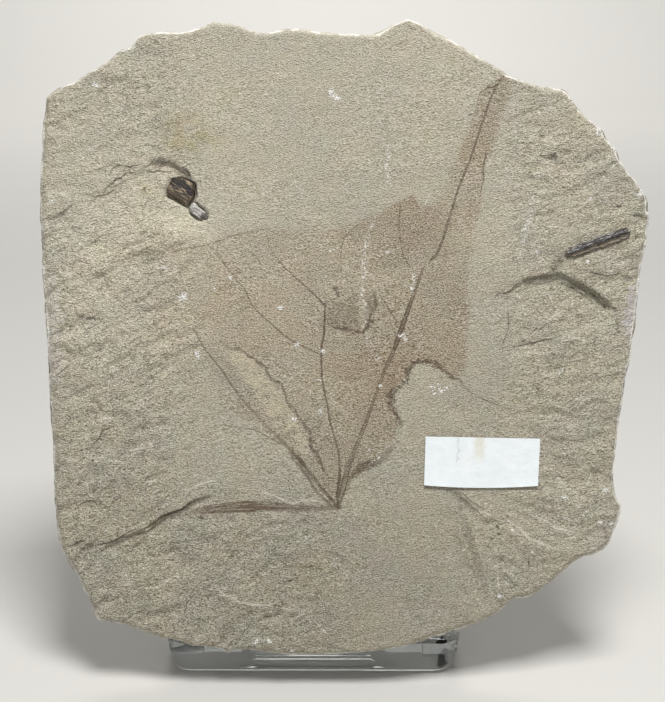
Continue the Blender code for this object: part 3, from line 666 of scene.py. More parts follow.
def inside_of(x, y, polygon):
    """Signed distance to a polygon's outline, positive inside, and progress round it."""
    inside = np.zeros(len(x), bool)
    for (ax, ay, *_a), (bx, by, *_b) in zip(polygon, polygon[1:] + polygon[:1]):
        if ay == by:
            continue
        crosses = (ay > y) != (by > y)
        inside ^= crosses & (x < ax + (bx - ax) * (y - ay) / (by - ay))
    _signed, distance, progress = line_place(x, y, polygon, closed=True)
    return np.where(inside, distance, -distance), progress


def patches(x, y, table):
    """The sum of soft oval patches."""
    total = np.zeros(len(x))
    for middle_x, middle_y, half_width, half_height, turn, amount in table.values():
        across, up = along_across(x - middle_x, y - middle_y, math.radians(turn))
        total += amount * np.exp(-((across / half_width) ** 2 + (up / half_height) ** 2))
    return total


def blended(x, y, samples):
    """A value that goes softly between those given at places."""
    total = np.zeros(len(x))
    weight = np.zeros(len(x))
    for place_x, place_y, value in samples:
        closeness = 1.0 / ((x - place_x) ** 2 + (y - place_y) ** 2 + 12.0) ** 1.6
        total += value * closeness
        weight += closeness
    return total / weight


# No stored distance from a line or a fleck is greater than this.
FAR = 60.0


def line_marks(x, y, marks):
    """For the nearest of several lines: distance across in half widths, clear gap, and strength."""
    nearest = np.full(len(x), 1.0e9)
    result = np.zeros((len(x), 3))
    for line, halves, strengths in marks:
        signed, distance, progress = line_place(x, y, line)
        half, strength = (
            np.interp(progress, np.linspace(0.0, 1.0, len(row)), row) for row in (halves, strengths))
        better = distance < nearest
        nearest[better] = distance[better]
        values = np.stack([signed / half, distance - half, strength], axis=1)
        result[better] = values[better]
    return np.clip(result, -FAR, FAR)


def traced(x, y):
    """The traced steps and cracks: how they move the ground, and their painted shadows and highlights."""
    height = np.zeros(len(x))
    dark = []
    pale = []
    for half, drop, strength, lines in TRACES.values():
        for points in lines:
            line = from_picture(points)
            signed, _away, progress = line_place(x, y, line)
            below = soft(signed / 1.6 + 0.5) * (1.0 - soft((signed - 0.8) / 3.5))
            height -= drop * tapered(progress, 0.15) * below
            halves = tuple(half * share for share in (0.5, 1.0, 1.0, 0.5))
            strengths = tuple(abs(strength) * share for share in (0.4, 1.0, 1.0, 0.3))
            (dark if strength > 0.0 else pale).append((line, halves, strengths))
    return height, line_marks(x, y, dark), line_marks(x, y, pale)


def fleck_marks(x, y, flecks):
    """For the nearest fleck: distance across and up in its half sizes, and away."""
    nearest = np.full(len(x), 1.0e9)
    result = np.zeros((len(x), 3))
    for middle_x, middle_y, half_width, half_height in flecks:
        across = (x - middle_x) / half_width
        up = (y - middle_y) / half_height
        away = np.hypot(across, up)
        better = away < nearest
        nearest[better] = away[better]
        result[better] = np.stack([across, up, away], axis=1)[better]
    return np.clip(result, -FAR, FAR)


# The grain's own grey: lighter and darker grains differ from the stone by this much light.
GRAIN_GREY = (0.378, 0.374, 0.361)

# How each line of the face shows: where it starts to fade and where it ends, in half widths, and
# how much its edge and its course waver.
LINE_LOOKS = {
    "midrib": (0.75, 1.2, 0.35, 0.3),
    "centre_vein": (0.5, 1.2, 0.5, 0.5),
    "left_vein": (0.5, 1.2, 0.5, 0.5),
    "left_strand": (0.5, 1.2, 0.5, 0.5),
    "fine_veins": (0.4, 1.3, 0.5, 0.8),
    "gnawed_edge": (0.4, 1.25, 2.4, 0.9),
    "patch_edge": (0.3, 1.3, 2.2, 1.0),
    "basal_scrap": (0.5, 1.4, 1.0, 0.0),
    "tear": (0.4, 1.3, 0.9, 0.0),
    "stalk": (0.7, 1.1, 0.35, 0.0),
    "cracks_and_shadows": (0.45, 1.3, 0.5, 0.6),
    "ridges_and_highlights": (0.3, 1.4, 0.8, 0.0),
    "scratches": (0.2, 1.6, 1.2, 0.0),
}

# Lines that are printed as dark as the veins, and how much of them is left where they are broken.
VEINS = ((("midrib",), 0.72), (("centre_vein", "left_vein", "left_strand"), 0.6), (("fine_veins",), 0.3))
DARK_EDGES = ((("gnawed_edge", "patch_edge"), 0.62), (("basal_scrap", "tear"), 0.35))


class Value:
    """A number, place or colour that varies over a surface: one output of a material's nodes."""

    def __init__(self, recipe, socket):
        self.recipe = recipe
        self.socket = socket

    def __add__(self, other):
        return self.recipe.math("ADD", self, other)

    def __sub__(self, other):
        return self.recipe.math("SUBTRACT", self, other)

    def __rsub__(self, other):
        return self.recipe.math("SUBTRACT", other, self)

    def __mul__(self, other):
        return self.recipe.math("MULTIPLY", self, other)

    def __abs__(self):
        return self.recipe.math("ABSOLUTE", self)

    __radd__ = __add__
    __rmul__ = __mul__

    def span(self, low, high, start=0.0, end=1.0, way="SMOOTHSTEP"):
        """Goes from start to end as this goes from low to high."""
        inputs = dict(enumerate((self, low, high, start, end)))
        return self.recipe.node("ShaderNodeMapRange", inputs, interpolation_type=way)

    def fall(self, low, high):
        """Goes from full to none as this goes from low to high."""
        return self.span(low, high, 1.0, 0.0)


class Recipe:
    """One node material, and the few steps that the finishes here are written in."""

    def __init__(self, name):
        self.material = bpy.data.materials.new(name)
        self.material.use_nodes = True
        tree = self.material.node_tree
        self.nodes = tree.nodes
        self.links = tree.links
        self.shader = next(node for node in tree.nodes if node.type == "BSDF_PRINCIPLED")
        self.colour = None

    def feed(self, socket, value):
        """Links a value to a socket, or sets the socket to a plain number, place or colour."""
        if isinstance(value, Value):
            self.links.new(value.socket, socket)
        elif socket.type == "RGBA":
            socket.default_value = (*value, 1.0)
        else:
            socket.default_value = value

    def node(self, kind, inputs, output=0, **choices):
        """One output of a new node, with its choices made and its inputs fed."""
        node = self.nodes.new(kind)
        for name, choice in choices.items():
            setattr(node, name, choice)
        for socket, value in inputs.items():
            self.feed(node.inputs[socket], value)
        return Value(self, node.outputs[output])

    def math(self, operation, a, b=0.0):
        return self.node("ShaderNodeMath", {0: a, 1: b}, operation=operation)

    def most(self, top, *others):
        """The greatest of several values."""
        for value in others:
            top = self.math("MAXIMUM", top, value)
        return top

    def noise(self, vector, scale, detail=2.0, roughness=0.5, distortion=0.0):
        return self.node("ShaderNodeTexNoise", {
            "Vector": vector, "Scale": scale, "Detail": detail, "Roughness": roughness,
            "Distortion": distortion,
        })

    def cells(self, vector, scale):
        return self.node("ShaderNodeTexVoronoi", {"Vector": vector, "Scale": scale}, "Distance")

    def object_places(self):
        return self.node("ShaderNodeTexCoord", {}, "Object")

    def face_places(self):
        """Object coordinates turned into the slab's plane, in millimetres."""
        return self.node("ShaderNodeMapping", {
            "Vector": self.object_places(), "Location": FACE_ORIGIN * MM,
            "Rotation": (math.pi / 2.0 - LEAN, 0.0, 0.0), "Scale": (MM, MM, MM),
        }, vector_type="TEXTURE")

    def turned(self, vector, degrees, scale):
        """The same places turned in the plane, then stretched."""
        rotation = (0.0, 0.0, math.radians(degrees))
        turned = self.node("ShaderNodeMapping", {"Vector": vector, "Rotation": rotation})
        return self.node("ShaderNodeVectorMath", {0: turned, 1: scale}, operation="MULTIPLY")

    def value_of(self, name, output="Fac"):
        """A number, or with the output Vector three, stored for each vertex."""
        return self.node("ShaderNodeAttribute", {}, output, attribute_name=name)

    def parts(self, vector):
        """A place's three numbers."""
        first = self.node("ShaderNodeSeparateXYZ", {0: vector})
        return [Value(self, socket) for socket in first.socket.node.outputs]

    def join(self, x, y, z=0.0):
        return self.node("ShaderNodeCombineXYZ", {0: x, 1: y, 2: z})

    def mixed(self, share, first, second, way="MIX"):
        """Two colours mixed; 0, 6 and 7 are the node's sockets for a share and colours, and 2 its result."""
        return self.node(
            "ShaderNodeMix", {0: share, 6: first, 7: second}, 2,
            data_type="RGBA", clamp_factor=False, blend_type=way,
        )

    def paint(self, share, shade, way="MIX"):
        """Lays a shade over the colour so far."""
        self.colour = self.mixed(share, self.colour, shade, way)

    def lighten(self, amount):
        """Makes the colour so far lighter or darker by a factor."""
        inputs = {0: self.colour, "Scale": amount}
        self.colour = self.node("ShaderNodeVectorMath", inputs, operation="SCALE")

    def finish(self, roughness, gloss=0.5, height=None):
        """Feeds the shader, and bends its light by a height in millimetres."""
        inputs = {"Base Color": self.colour, "Roughness": roughness, "Specular IOR Level": gloss}
        if height is not None:
            inputs["Normal"] = self.node(
                "ShaderNodeBump", {"Strength": 1.0, "Distance": MM, "Height": height})
        for name, value in inputs.items():
            self.feed(self.shader.inputs[name], value)
        return self.material


def tinted(shade, factors):
    """A colour with its red, green and blue made stronger or weaker."""
    return tuple(part * factor for part, factor in zip(shade, factors))


def drawn(recipe, name, jitter, sideways, inner, outer, wobble, sway):
    """How strongly a line shows, full at its middle and nothing past its edge, and the way across it."""
    across, clear, strength = recipe.parts(recipe.value_of(name, "Vector"))
    if sway:
        across = across + sideways * sway
    distance = abs(across) + jitter * wobble
    return distance.fall(inner, outer) * clear.fall(0.7, 1.1) * strength, across


def fleck_shape(recipe, name, crumbs):
    """How strongly a fleck shows: full in its middle, with a crumbled edge."""
    across, up, away = recipe.parts(recipe.value_of(name, "Vector"))
    reach = recipe.math("SQRT", across * across + up * up)
    return (reach + crumbs).fall(0.55, 0.95) * away.fall(2.2, 3.0)


def stone_finish(settings):
    """Shale: grain, bedding streaks, the leaf's film and lines, stains, scratches and flecks."""
    r = Recipe("shale")
    place = r.face_places()
    x, y, z = r.parts(place)
    rough = r.value_of("rough")
    face = r.value_of("face")
    density = r.value_of("film_density")
    blade = r.value_of("film")
    pale = tuple(settings.pale_stone)

    # The stone's grain from dust to broad clouds, bedding scarps, wrinkles with painted shade, and specks.
    dust = r.noise(r.turned(place, -8.0, (0.8, 1.15, 1.0)), 2.6, 0.0)
    fine = r.noise(r.turned(place, -12.0, (0.7, 1.15, 1.0)), 1.7, 2.0, 0.6, 0.3)
    coarse = r.noise(r.turned(place, -24.0, (0.7, 1.1, 0.9)), 0.72, 2.0, 0.6, 0.5)
    middle = r.noise(r.turned(place, -26.0, (0.62, 1.05, 1.0)), 0.27, 3.0, 0.6, 0.8)
    broad = r.noise(place, 0.045, 3.0, 0.55)
    rise = r.math("MINIMUM", x + 20.0, 0.0) * -0.36 + x * -0.12
    flow = r.noise(r.turned(place, -18.0, (0.7, 1.0, 1.0)), 0.17, 4.0, 0.62, 0.6)
    bedding = r.math("FRACT", (y + rise) * 0.27 + flow * 3.6 + fine * 0.2)
    scarps = bedding.span(0.86, 1.0) - bedding
    broken_scarps = r.noise(place, 0.2, 2.0, 0.5, 0.5).span(0.42, 0.60, 0.1, 1.0)
    # Thin wrinkle grooves, which also carry painted shade along them.
    wrinkle_and_shade = r.noise(r.turned(place, -15.0, (0.7, 1.0, 1.0)), 0.42, 3.0, 0.6, 1.0)
    wrinkle_and_shade = abs(wrinkle_and_shade - 0.5).fall(0.004, 0.02) * r.noise(place, 0.3, 2.0, 0.5).span(0.49, 0.60)
    wrinkle_and_shade = wrinkle_and_shade * (0.2 + rough * 0.8) * face
    specks = r.cells(place, 1.9).fall(0.08, 0.24)
    speck_choice = r.noise(place, 1.1, 1.0, 0.5)
    dark_specks = specks * speck_choice.span(0.58, 0.66)
    light_specks = specks * speck_choice.span(0.42, 0.34)

    stone = tuple(settings.stone)
    r.colour = r.mixed(
        broad.span(0.36, 0.64), tinted(stone, (0.965, 0.97, 0.985)), tinted(stone, (1.025, 1.015, 0.99)))
    # Lightens and darkens by the shade patches, among them painted light and painted shade, and by random
    # tone.
    r.lighten(1.0 + r.value_of("shade") + (middle - 0.5) * (0.16 + rough * 0.22))
    pink = r.noise(place, 0.13, 2.0, 0.5) - 0.5
    olive = r.noise(place, 0.24, 2.0, 0.5, 0.5) - 0.5
    tints = ((0.10, -0.03), (-0.03, 0.01), (0.03, -0.06))
    r.paint(1.0, r.join(*(1.0 + pink * much + olive * little for much, little in tints)), "MULTIPLY")
    film_here = blade.span(-1.0, 1.0) * density
    grain = (
        (dust - 0.5) * (1.2 + rough * 0.6 + film_here * 0.95)
        + (fine - 0.5) * (0.6 + film_here * 0.2)
        + (coarse - 0.5) * (0.26 + rough * 0.12)
        + dark_specks * -0.24
        + light_specks * 0.18
    )
    r.paint(grain, GRAIN_GREY, "ADD")

    # The leaf's brown film, the sandy band beside its tear, and the stains.
    sandy = r.value_of("sandy") * middle.span(0.38, 0.54)
    film_noise = r.noise(r.turned(place, 20.0, (1.0, 0.6, 1.0)), 0.16, 4.0, 0.62)
    film = (blade + (film_noise - 0.5) * 2.4 + (fine - 0.5) * 1.6).span(-1.0, 1.0) * density * face
    film = film * film_noise.span(0.3, 0.7, 0.78, 1.22, "LINEAR") * fine.span(0.2, 0.8, 1.2, 0.8, "LINEAR")
    film = r.math("MINIMUM", film * (1.0 - sandy * 0.7), 1.25)
    r.paint(film, tuple(settings.film), "MULTIPLY")
    r.paint(sandy * dust.span(0.3, 0.7, 0.25, 0.7, "LINEAR"), screen(200, 188, 161))
    r.paint(r.value_of("stain") * middle.span(0.3, 0.7) * 0.75, screen(222, 212, 168), "MULTIPLY")

    # The drawn lines, broken up by the grain; the traced ones carry painted shadows and highlights.
    jitter = (r.noise(place, 1.3, 3.0, 0.65) - 0.5) * 1.4
    sideways = (r.noise(place, 0.75, 2.0, 0.6) - 0.5) * 3.0
    shows = {}
    across = {}
    for name, look in LINE_LOOKS.items():
        shows[name], across[name] = drawn(r, name, jitter, sideways, *look)
    shows["midrib"] *= abs(across["midrib"]).span(0.15, 0.65, 0.62, 1.0)
    base = y.fall(-30.0, -18.0)
    for name, fineness, gap in (("midrib", 1.9, 0.62), ("left_vein", 1.6, 0.55)):
        hairs = r.noise(r.join(across[name] * fineness, y * 0.12), 1.0, 2.0, 0.6)
        shows[name] *= 1.0 - base * hairs.span(0.38, 0.56, gap, 0.0)
    fibres = r.noise(r.join(x * 0.09, across["stalk"] * 2.6), 1.0, 3.0, 0.62, 0.4)
    shows["stalk"] *= fibres.span(0.40, 0.58, 0.38, 1.0)
    for name, scale, roughness, low, high, least in (
        ("gnawed_edge", 0.8, 0.6, 0.36, 0.5, 0.5), ("cracks_and_shadows", 0.5, 0.6, 0.34, 0.48, 0.55),
        ("ridges_and_highlights", 0.45, 0.6, 0.36, 0.52, 0.45), ("scratches", 1.1, 0.7, 0.50, 0.60, 0.0),
    ):
        shows[name] *= r.noise(place, scale, 2.0, roughness).span(low, high, least, 1.0)
    cracks_and_shadows = shows["cracks_and_shadows"] * face
    ridges_and_highlights = shows["ridges_and_highlights"] * face
    scratch = shows["scratches"] * r.noise(place, 0.13, 2.0, 0.5).span(0.34, 0.48) * face

    patch = abs(x - 9.2).span(0.5, 1.6, 0.3, 1.0) * (r.value_of("patch") + jitter * 0.5).span(-0.4, 0.7)
    dark = patch * fine.span(0.25, 0.7, 1.0, 0.25, "LINEAR") * 0.5
    broken = r.noise(place, 0.55, 3.0, 0.65).span(0.30, 0.52)
    speckle = fine.span(0.36, 0.60)
    for whole, groups in ((broken, VEINS), (speckle, DARK_EDGES)):
        for names, least in groups:
            strongest = r.most(*(shows[name] for name in names))
            dark = r.most(dark, strongest * whole.span(0.0, 1.0, least, 1.0))
    r.paint(dark * face, tuple(settings.vein))
    r.paint(shows["stalk"] * face, screen(104, 88, 72))
    # Painted highlights along the lit ridges, then painted shadow in the cracks, steps and wrinkles.
    r.paint(ridges_and_highlights * 0.85, pale)
    r.paint(r.most(cracks_and_shadows * 0.92, wrinkle_and_shade * 0.45), screen(70, 62, 51))

    # Dark spots, white flecks and scratches.
    crumbs = (0.5 - r.noise(place, 1.9, 2.0, 0.7)) * 5.5
    fleck = fleck_shape(r, "flecks", crumbs) * face
    spot = fleck_shape(r, "spots", crumbs * 0.5) * face
    r.paint(spot * 0.72, screen(78, 70, 60))
    r.paint(r.most(fleck * 0.77, scratch * 0.66), screen(247, 246, 242))

    # The layered broken side, the paler stone along the rim, and a white edge line, partly painted highlight.
    side = 1.0 - face
    layers = r.noise(r.join(x * 0.05, y * 0.05, z * 1.1), 1.0, 3.0, 0.6)
    r.lighten(1.0 + side * (layers - 0.5) * 0.45)
    rim_noise = r.noise(place, 0.35, 3.0, 0.7)
    r.paint(r.value_of("rim") * rim_noise.span(0.34, 0.52) * 0.6, pale)
    fresh = (r.value_of("fresh") + (rim_noise - 0.5) * 9.0).span(-0.6, 1.2)
    r.paint(fresh * x.span(-60.0, 60.0, 0.20, 0.72, "LINEAR"), screen(204, 197, 197))
    # A thin white line at the very edge, strongest at the right: pale broken stone, partly painted highlight.
    edge = (r.value_of("edge") + (r.noise(place, 0.35, 3.0, 0.6) - 0.5) * 1.4).fall(0.3, 0.7)
    edge = edge * r.most(r.noise(place, 0.16, 3.0, 0.6).span(0.44, 0.56), x.span(78.0, 86.0))
    r.paint(edge * 0.75, screen(238, 235, 226))

    depth = settings.grain / MM
    height = (
        dust * (depth * 5.6 + rough * (depth * 1.2))
        + fine * (depth * 7.0 + rough * (depth * 2.6))
        + coarse * (depth * 6.0 + rough * (depth * 7.0))
        + middle * (depth * 5.0 + rough * (depth * 14.0))
        + dark_specks * (depth * -1.2)
        + light_specks * (depth * 0.6)
        + shows["midrib"] * -0.05
        + cracks_and_shadows * -0.25
        + wrinkle_and_shade * -0.16
        + ridges_and_highlights * 0.20
        + fleck * 0.10
        + scarps * broken_scarps * (0.045 + rough * 0.30) * face
        + side * layers * 0.35
        + side * r.noise(place, 0.5, 4.0, 0.65) * 0.4
    )
    return r.finish(0.88, 0.28, height)


def wood_finish(settings, name, turn, dark, light, balance, marks):
    """Charred wood: fibres along the grain, lighter lines between them, and its own marks."""
    r = Recipe(name)
    place = r.face_places()
    along = r.turned(place, turn, (0.16, 1.0, 1.0))
    fibres = r.noise(along, 3.0, 3.0, 0.75, 0.3)
    strips = r.noise(along, 1.7, 2.0, 0.6, 0.4)
    pores = r.noise(r.turned(place, turn, (0.6, 1.0, 1.0)), 3.0, 3.0, 0.6)
    light_share = (fibres + (strips - 0.5) * 1.2).span(balance, balance + 0.14)
    r.colour = r.mixed(light_share * pores.span(0.3, 0.6, 0.4, 1.0), tuple(dark), tuple(light))
    r.lighten(pores.span(0.25, 0.75, 0.7, 1.25, "LINEAR"))
    marks(r, place, fibres - 0.5)
    grain = settings.grain / MM
    height = fibres * grain + strips * (grain * 1.2) + pores * (grain * 0.3)
    return r.finish(fibres.span(0.3, 0.7, 0.42, 0.7), 0.4, height)


def chip_marks(r, place, uneven):
    """A black band across the chip's diagonal, and browner wood at its lower left."""
    x, y, _z = r.parts(place)
    off = (x + 46.7) * 0.55 + (y - 52.1) * 0.83 + uneven * 2.0
    r.paint(off.span(-1.6, -3.4, 0.0, 0.3), screen(132, 116, 97))
    r.paint(abs(off).span(0.4, 1.1, 0.9, 0.0), screen(34, 28, 25))


def splinter_marks(r, place, uneven):
    """The splinter's dark round end, and the thin dark line along its lower side."""
    x, y, _z = r.parts(place)
    reach = r.math("POWER", x + 40.7, 2.0) + r.math("POWER", y - 42.6, 2.0)
    end = (reach + uneven * 1.6).span(0.5, 1.4, 0.8, 0.0)
    line = (x + 44.6) * 0.62 + (y - 43.4) * 0.78
    low = abs(line + uneven * 0.9).span(0.1, 0.35, 0.7, 0.0)
    r.paint(r.most(end, low), screen(58, 50, 46))


def twig_marks(r, _place, uneven):
    """Grey brown wood bared between the twig's black upper strand and its thin lower one."""
    across = r.value_of("strand") + uneven * 1.1
    bare = across.span(-0.90, -0.74) * across.span(-0.22, -0.42)
    r.paint(bare * 0.85, screen(152, 140, 120))


def paper_finish(settings):
    """Plain office paper, a little crinkled, with a faint old stain and a crease with painted shade along it.
    """
    r = Recipe("label_paper")
    place = r.face_places()
    x, y, _z = r.parts(place)
    fibre = r.noise(place, 2.6, 4.0, 0.65)
    cloud = r.noise(place, 0.22, 3.0, 0.6)
    paper = tuple(settings.paper)
    r.colour = r.mixed(cloud.span(0.35, 0.7), paper, tinted(paper, (0.95, 0.965, 0.975)))
    stain = abs(x - 46.2).fall(0.6, 2.6) * y.span(-36.5, -31.0) * fibre.span(0.3, 0.65)
    r.paint(stain * 0.75, screen(214, 204, 178))
    from_crease = abs(x - (39.4 + (r.noise(place, 0.5) - 0.5) * 3.0))
    crease_and_shade = from_crease.fall(0.1, 0.5) * y.span(-36.5, -34.0)
    specks = from_crease.fall(0.6, 2.4) * fibre.span(0.60, 0.68)
    # Painted shade along the crease, and specks beside it.
    r.paint(r.most(crease_and_shade * 0.4, specks * 0.5) * fibre.span(0.4, 0.6), screen(150, 145, 132))
    r.lighten(fibre.span(0.2, 0.8, 0.965, 1.03, "LINEAR"))
    return r.finish(0.74, 0.3, fibre * 0.035 + cloud * 0.25 + crease_and_shade * 0.08)


def plastic_finish(settings):
    """Clear moulded plastic, faintly rippled and a little scuffed."""
    r = Recipe("clear_plastic")
    place = r.object_places()
    ripple = r.noise(place, 45.0, 2.0, 0.5)
    scuff = r.noise(place, 900.0, 3.0, 0.6)
    patchy = r.noise(place, 130.0, 3.0, 0.6)
    r.colour = tuple(settings.plastic)
    r.feed(r.shader.inputs["Transmission Weight"], settings.clearness)
    r.feed(r.shader.inputs["IOR"], PLASTIC_IOR)
    roughness = patchy.span(0.45, 0.7, 0.02, 0.12) * scuff.span(0.3, 0.7, 0.6, 1.4)
    return r.finish(roughness, height=ripple * 0.12 + scuff * 0.004)


def stage_finish(settings):
    """Plain pale matt floor."""
    r = Recipe("stage_floor")
    r.colour = tuple(settings.floor)
    r.lighten(r.noise(r.object_places(), 3.0, 3.0, 0.5).span(0.2, 0.8, 0.98, 1.02, "LINEAR"))
    return r.finish(0.75, 0.2)


def rim_of(mesh, points):
    """The rim's vertices in order: they join the face to the first ring of the broken side."""
    on_first_ring = np.abs(points[:, 2] - FIRST_RING) < 0.01
    links = {}
    for polygon in mesh.polygons:
        corners = list(polygon.vertices)
        upper = [c for c in corners if points[c, 2] > SIDE_TOP]
        if len(upper) == 2 and on_first_ring[corners].any():
            links.setdefault(upper[0], set()).add(upper[1])
            links.setdefault(upper[1], set()).add(upper[0])
    order = [min(links)]
    previous = None
    while True:
        step = next(c for c in links[order[-1]] if c != previous)
        if step == order[0]:
            return order
        previous = order[-1]
        order.append(step)


def open_ground(x, y):
    """Height of the split face: slow waves, and the ledges with their lips."""
    slow = noisy(x, y, 3.1, 0.022, 0.030)
    ripple = noisy(x, y, 8.7, 0.075, 0.15)
    sides = soft((np.abs(x - 5.0) - 25.0) / 50.0)
    height = 0.55 * slow + (0.15 + 0.30 * sides) * ripple
    sway_x, sway_y = (
        0.7 * noisy(x, y, level, 0.35) + 0.35 * noisy(x, y, level + 2.0, 0.9) for level in (31.0, 35.0))
    for ledge in LEDGES.values():
        sway = ledge["sway"]
        distance, _away, progress = line_place(x + sway * sway_x, y + sway * sway_y, ledge["line"])
        ends = tapered(progress, 0.15)
        growth = np.interp(progress, (0.1, 0.75), ledge["growth"])
        missing = np.clip(1.0 - growth, 0.0, 1.0)
        edge = ledge["edge"] + 3.5 * missing
        fall = stepped(distance / edge, 1.0 + 2.0 * missing)
        rise = 1.0 - soft((distance - edge) / ledge["reach"])
        height -= ledge["drop"] * ends * growth * fall * rise
        crest = np.exp(-((distance + 0.6) / 1.3) ** 2)
        trough = np.exp(-((distance - 1.4 - edge * 0.5) / 1.1) ** 2)
        height += ledge["lip"] * ends * (crest - 0.8 * trough)
    distance, _away, progress = line_place(x + sway_x, y + sway_y, HOLLOW_UPPER_LINE)
    below = soft(distance / 0.8) * (1.0 - soft((distance - 0.8) / 3.0))
    return height - 0.25 * tapered(progress, 0.2) * below


def roughness_of(x, y):
    """Where the split is rough: little in the middle and at the top, much at the sides."""
    left = soft((-x - 34.0) / 26.0) * (0.55 + 0.45 * soft((62.0 - y) / 40.0))
    right = 0.75 * soft((x - 46.0) / 22.0)
    foot = 0.85 * soft((-y - 30.0) / 30.0) * soft((22.0 - x) / 40.0)
    corner = 0.55 * soft((-y - 40.0) / 26.0) * soft((x - 34.0) / 24.0)
    uneven = 0.5 + 0.5 * noisy(x, y, 12.0, 0.045)
    return np.clip(np.maximum.reduce([left, right, foot, corner]) * (0.75 + 0.5 * uneven), 0.0, 1.0)


def bedding_rise(x):
    """How far the bedding climbs up the face from left to right, steeply at the left."""
    return 0.36 * np.minimum(x + 20.0, 0.0) + 0.12 * x


# Where the plume of fine lines at the lower right starts to fan out.
PLUME = (37.0, -38.0)


def face_relief(x, y, rough, settings):
    """The split's own relief: bedding ledges that face down, lumps between them, and the plume."""
    height = 0.05 * noisy(x, y, 75.0, 0.85)
    up = y - bedding_rise(x)
    ripple = settings.ripple / MM * (0.12 + 0.88 * rough)
    first = noisy(x, up, 71.0, 0.22, 0.44)
    crests = 1.0 - 2.0 * np.abs(first)
    height += ripple * (0.8 * first + 0.35 * crests + 0.7 * noisy(x, up, 73.0, 0.5, 0.8))
    for spacing, share, riser, level in ((8.5, 1.0, 0.13, 0.0), (4.3, 0.45, 0.22, 20.0)):
        bedding = up / spacing
        for scale, sway in ((0.42, 1.25), (1.25, 0.42), (3.6, 0.14)):
            bedding += sway * noisy(x, up, 61.0 + level + scale, scale / spacing, 1.3 * scale / spacing)
        whole = np.floor(bedding)
        saw = whole + soft((bedding - whole - 1.0 + riser) / riser) - bedding
        broken = soft((noisy(x, up, 53.0 + level, 0.07, 0.13) + 0.22) / 0.5)
        height += settings.terrace / MM * share * saw * broken * (0.04 + 0.96 * rough)

    reach = np.hypot(x - PLUME[0], y - PLUME[1])
    angle = np.arctan2(y - PLUME[1], x - PLUME[0])
    fan = noisy(angle * 5.0, reach, 81.0, 1.0, 0.02) + 0.9 * noisy(angle * 12.0, reach, 83.0, 1.0, 0.04)
    in_fan = soft((reach - 9.0) / 18.0) * soft((angle + 2.0) / 0.35) * soft((0.05 - angle) / 0.3)
    height += 0.62 * fan * in_fan
    return height


def leaf_marks():
    """Every line of the leaf and every scratch, by the name of its attribute."""
    return {
        name: [(from_picture(points), *looks) for points, *looks in group]
        for name, group in LEAF_LINES.items()
    }


def twig_outline():
    """The twig's outline on the face."""
    start = Vector(TWIG_START)
    along = Vector(TWIG_END) - start
    across = Vector((-along.y, along.x)).normalized()
    last = len(TWIG_HALF_WIDTHS) - 1
    upper, lower = (
        [tuple(start + along * i / last + across * side * w) for i, w in enumerate(TWIG_HALF_WIDTHS)]
        for side in (1.0, -1.0))
    return upper + lower[::-1]


def seated(x, y, height):
    """Lowers the ground under each piece that lies on the face, up close to its outline."""
    outlines = {"label": LABEL, "twig": twig_outline(), "chip": CHIP, "splinter": SPLINTER}
    for name, outline in outlines.items():
        level, fade = SEATS[name]
        inside, _progress = inside_of(x, y, outline)
        height = level + (height - level) * soft((-inside - 0.18) / fade)
    return height


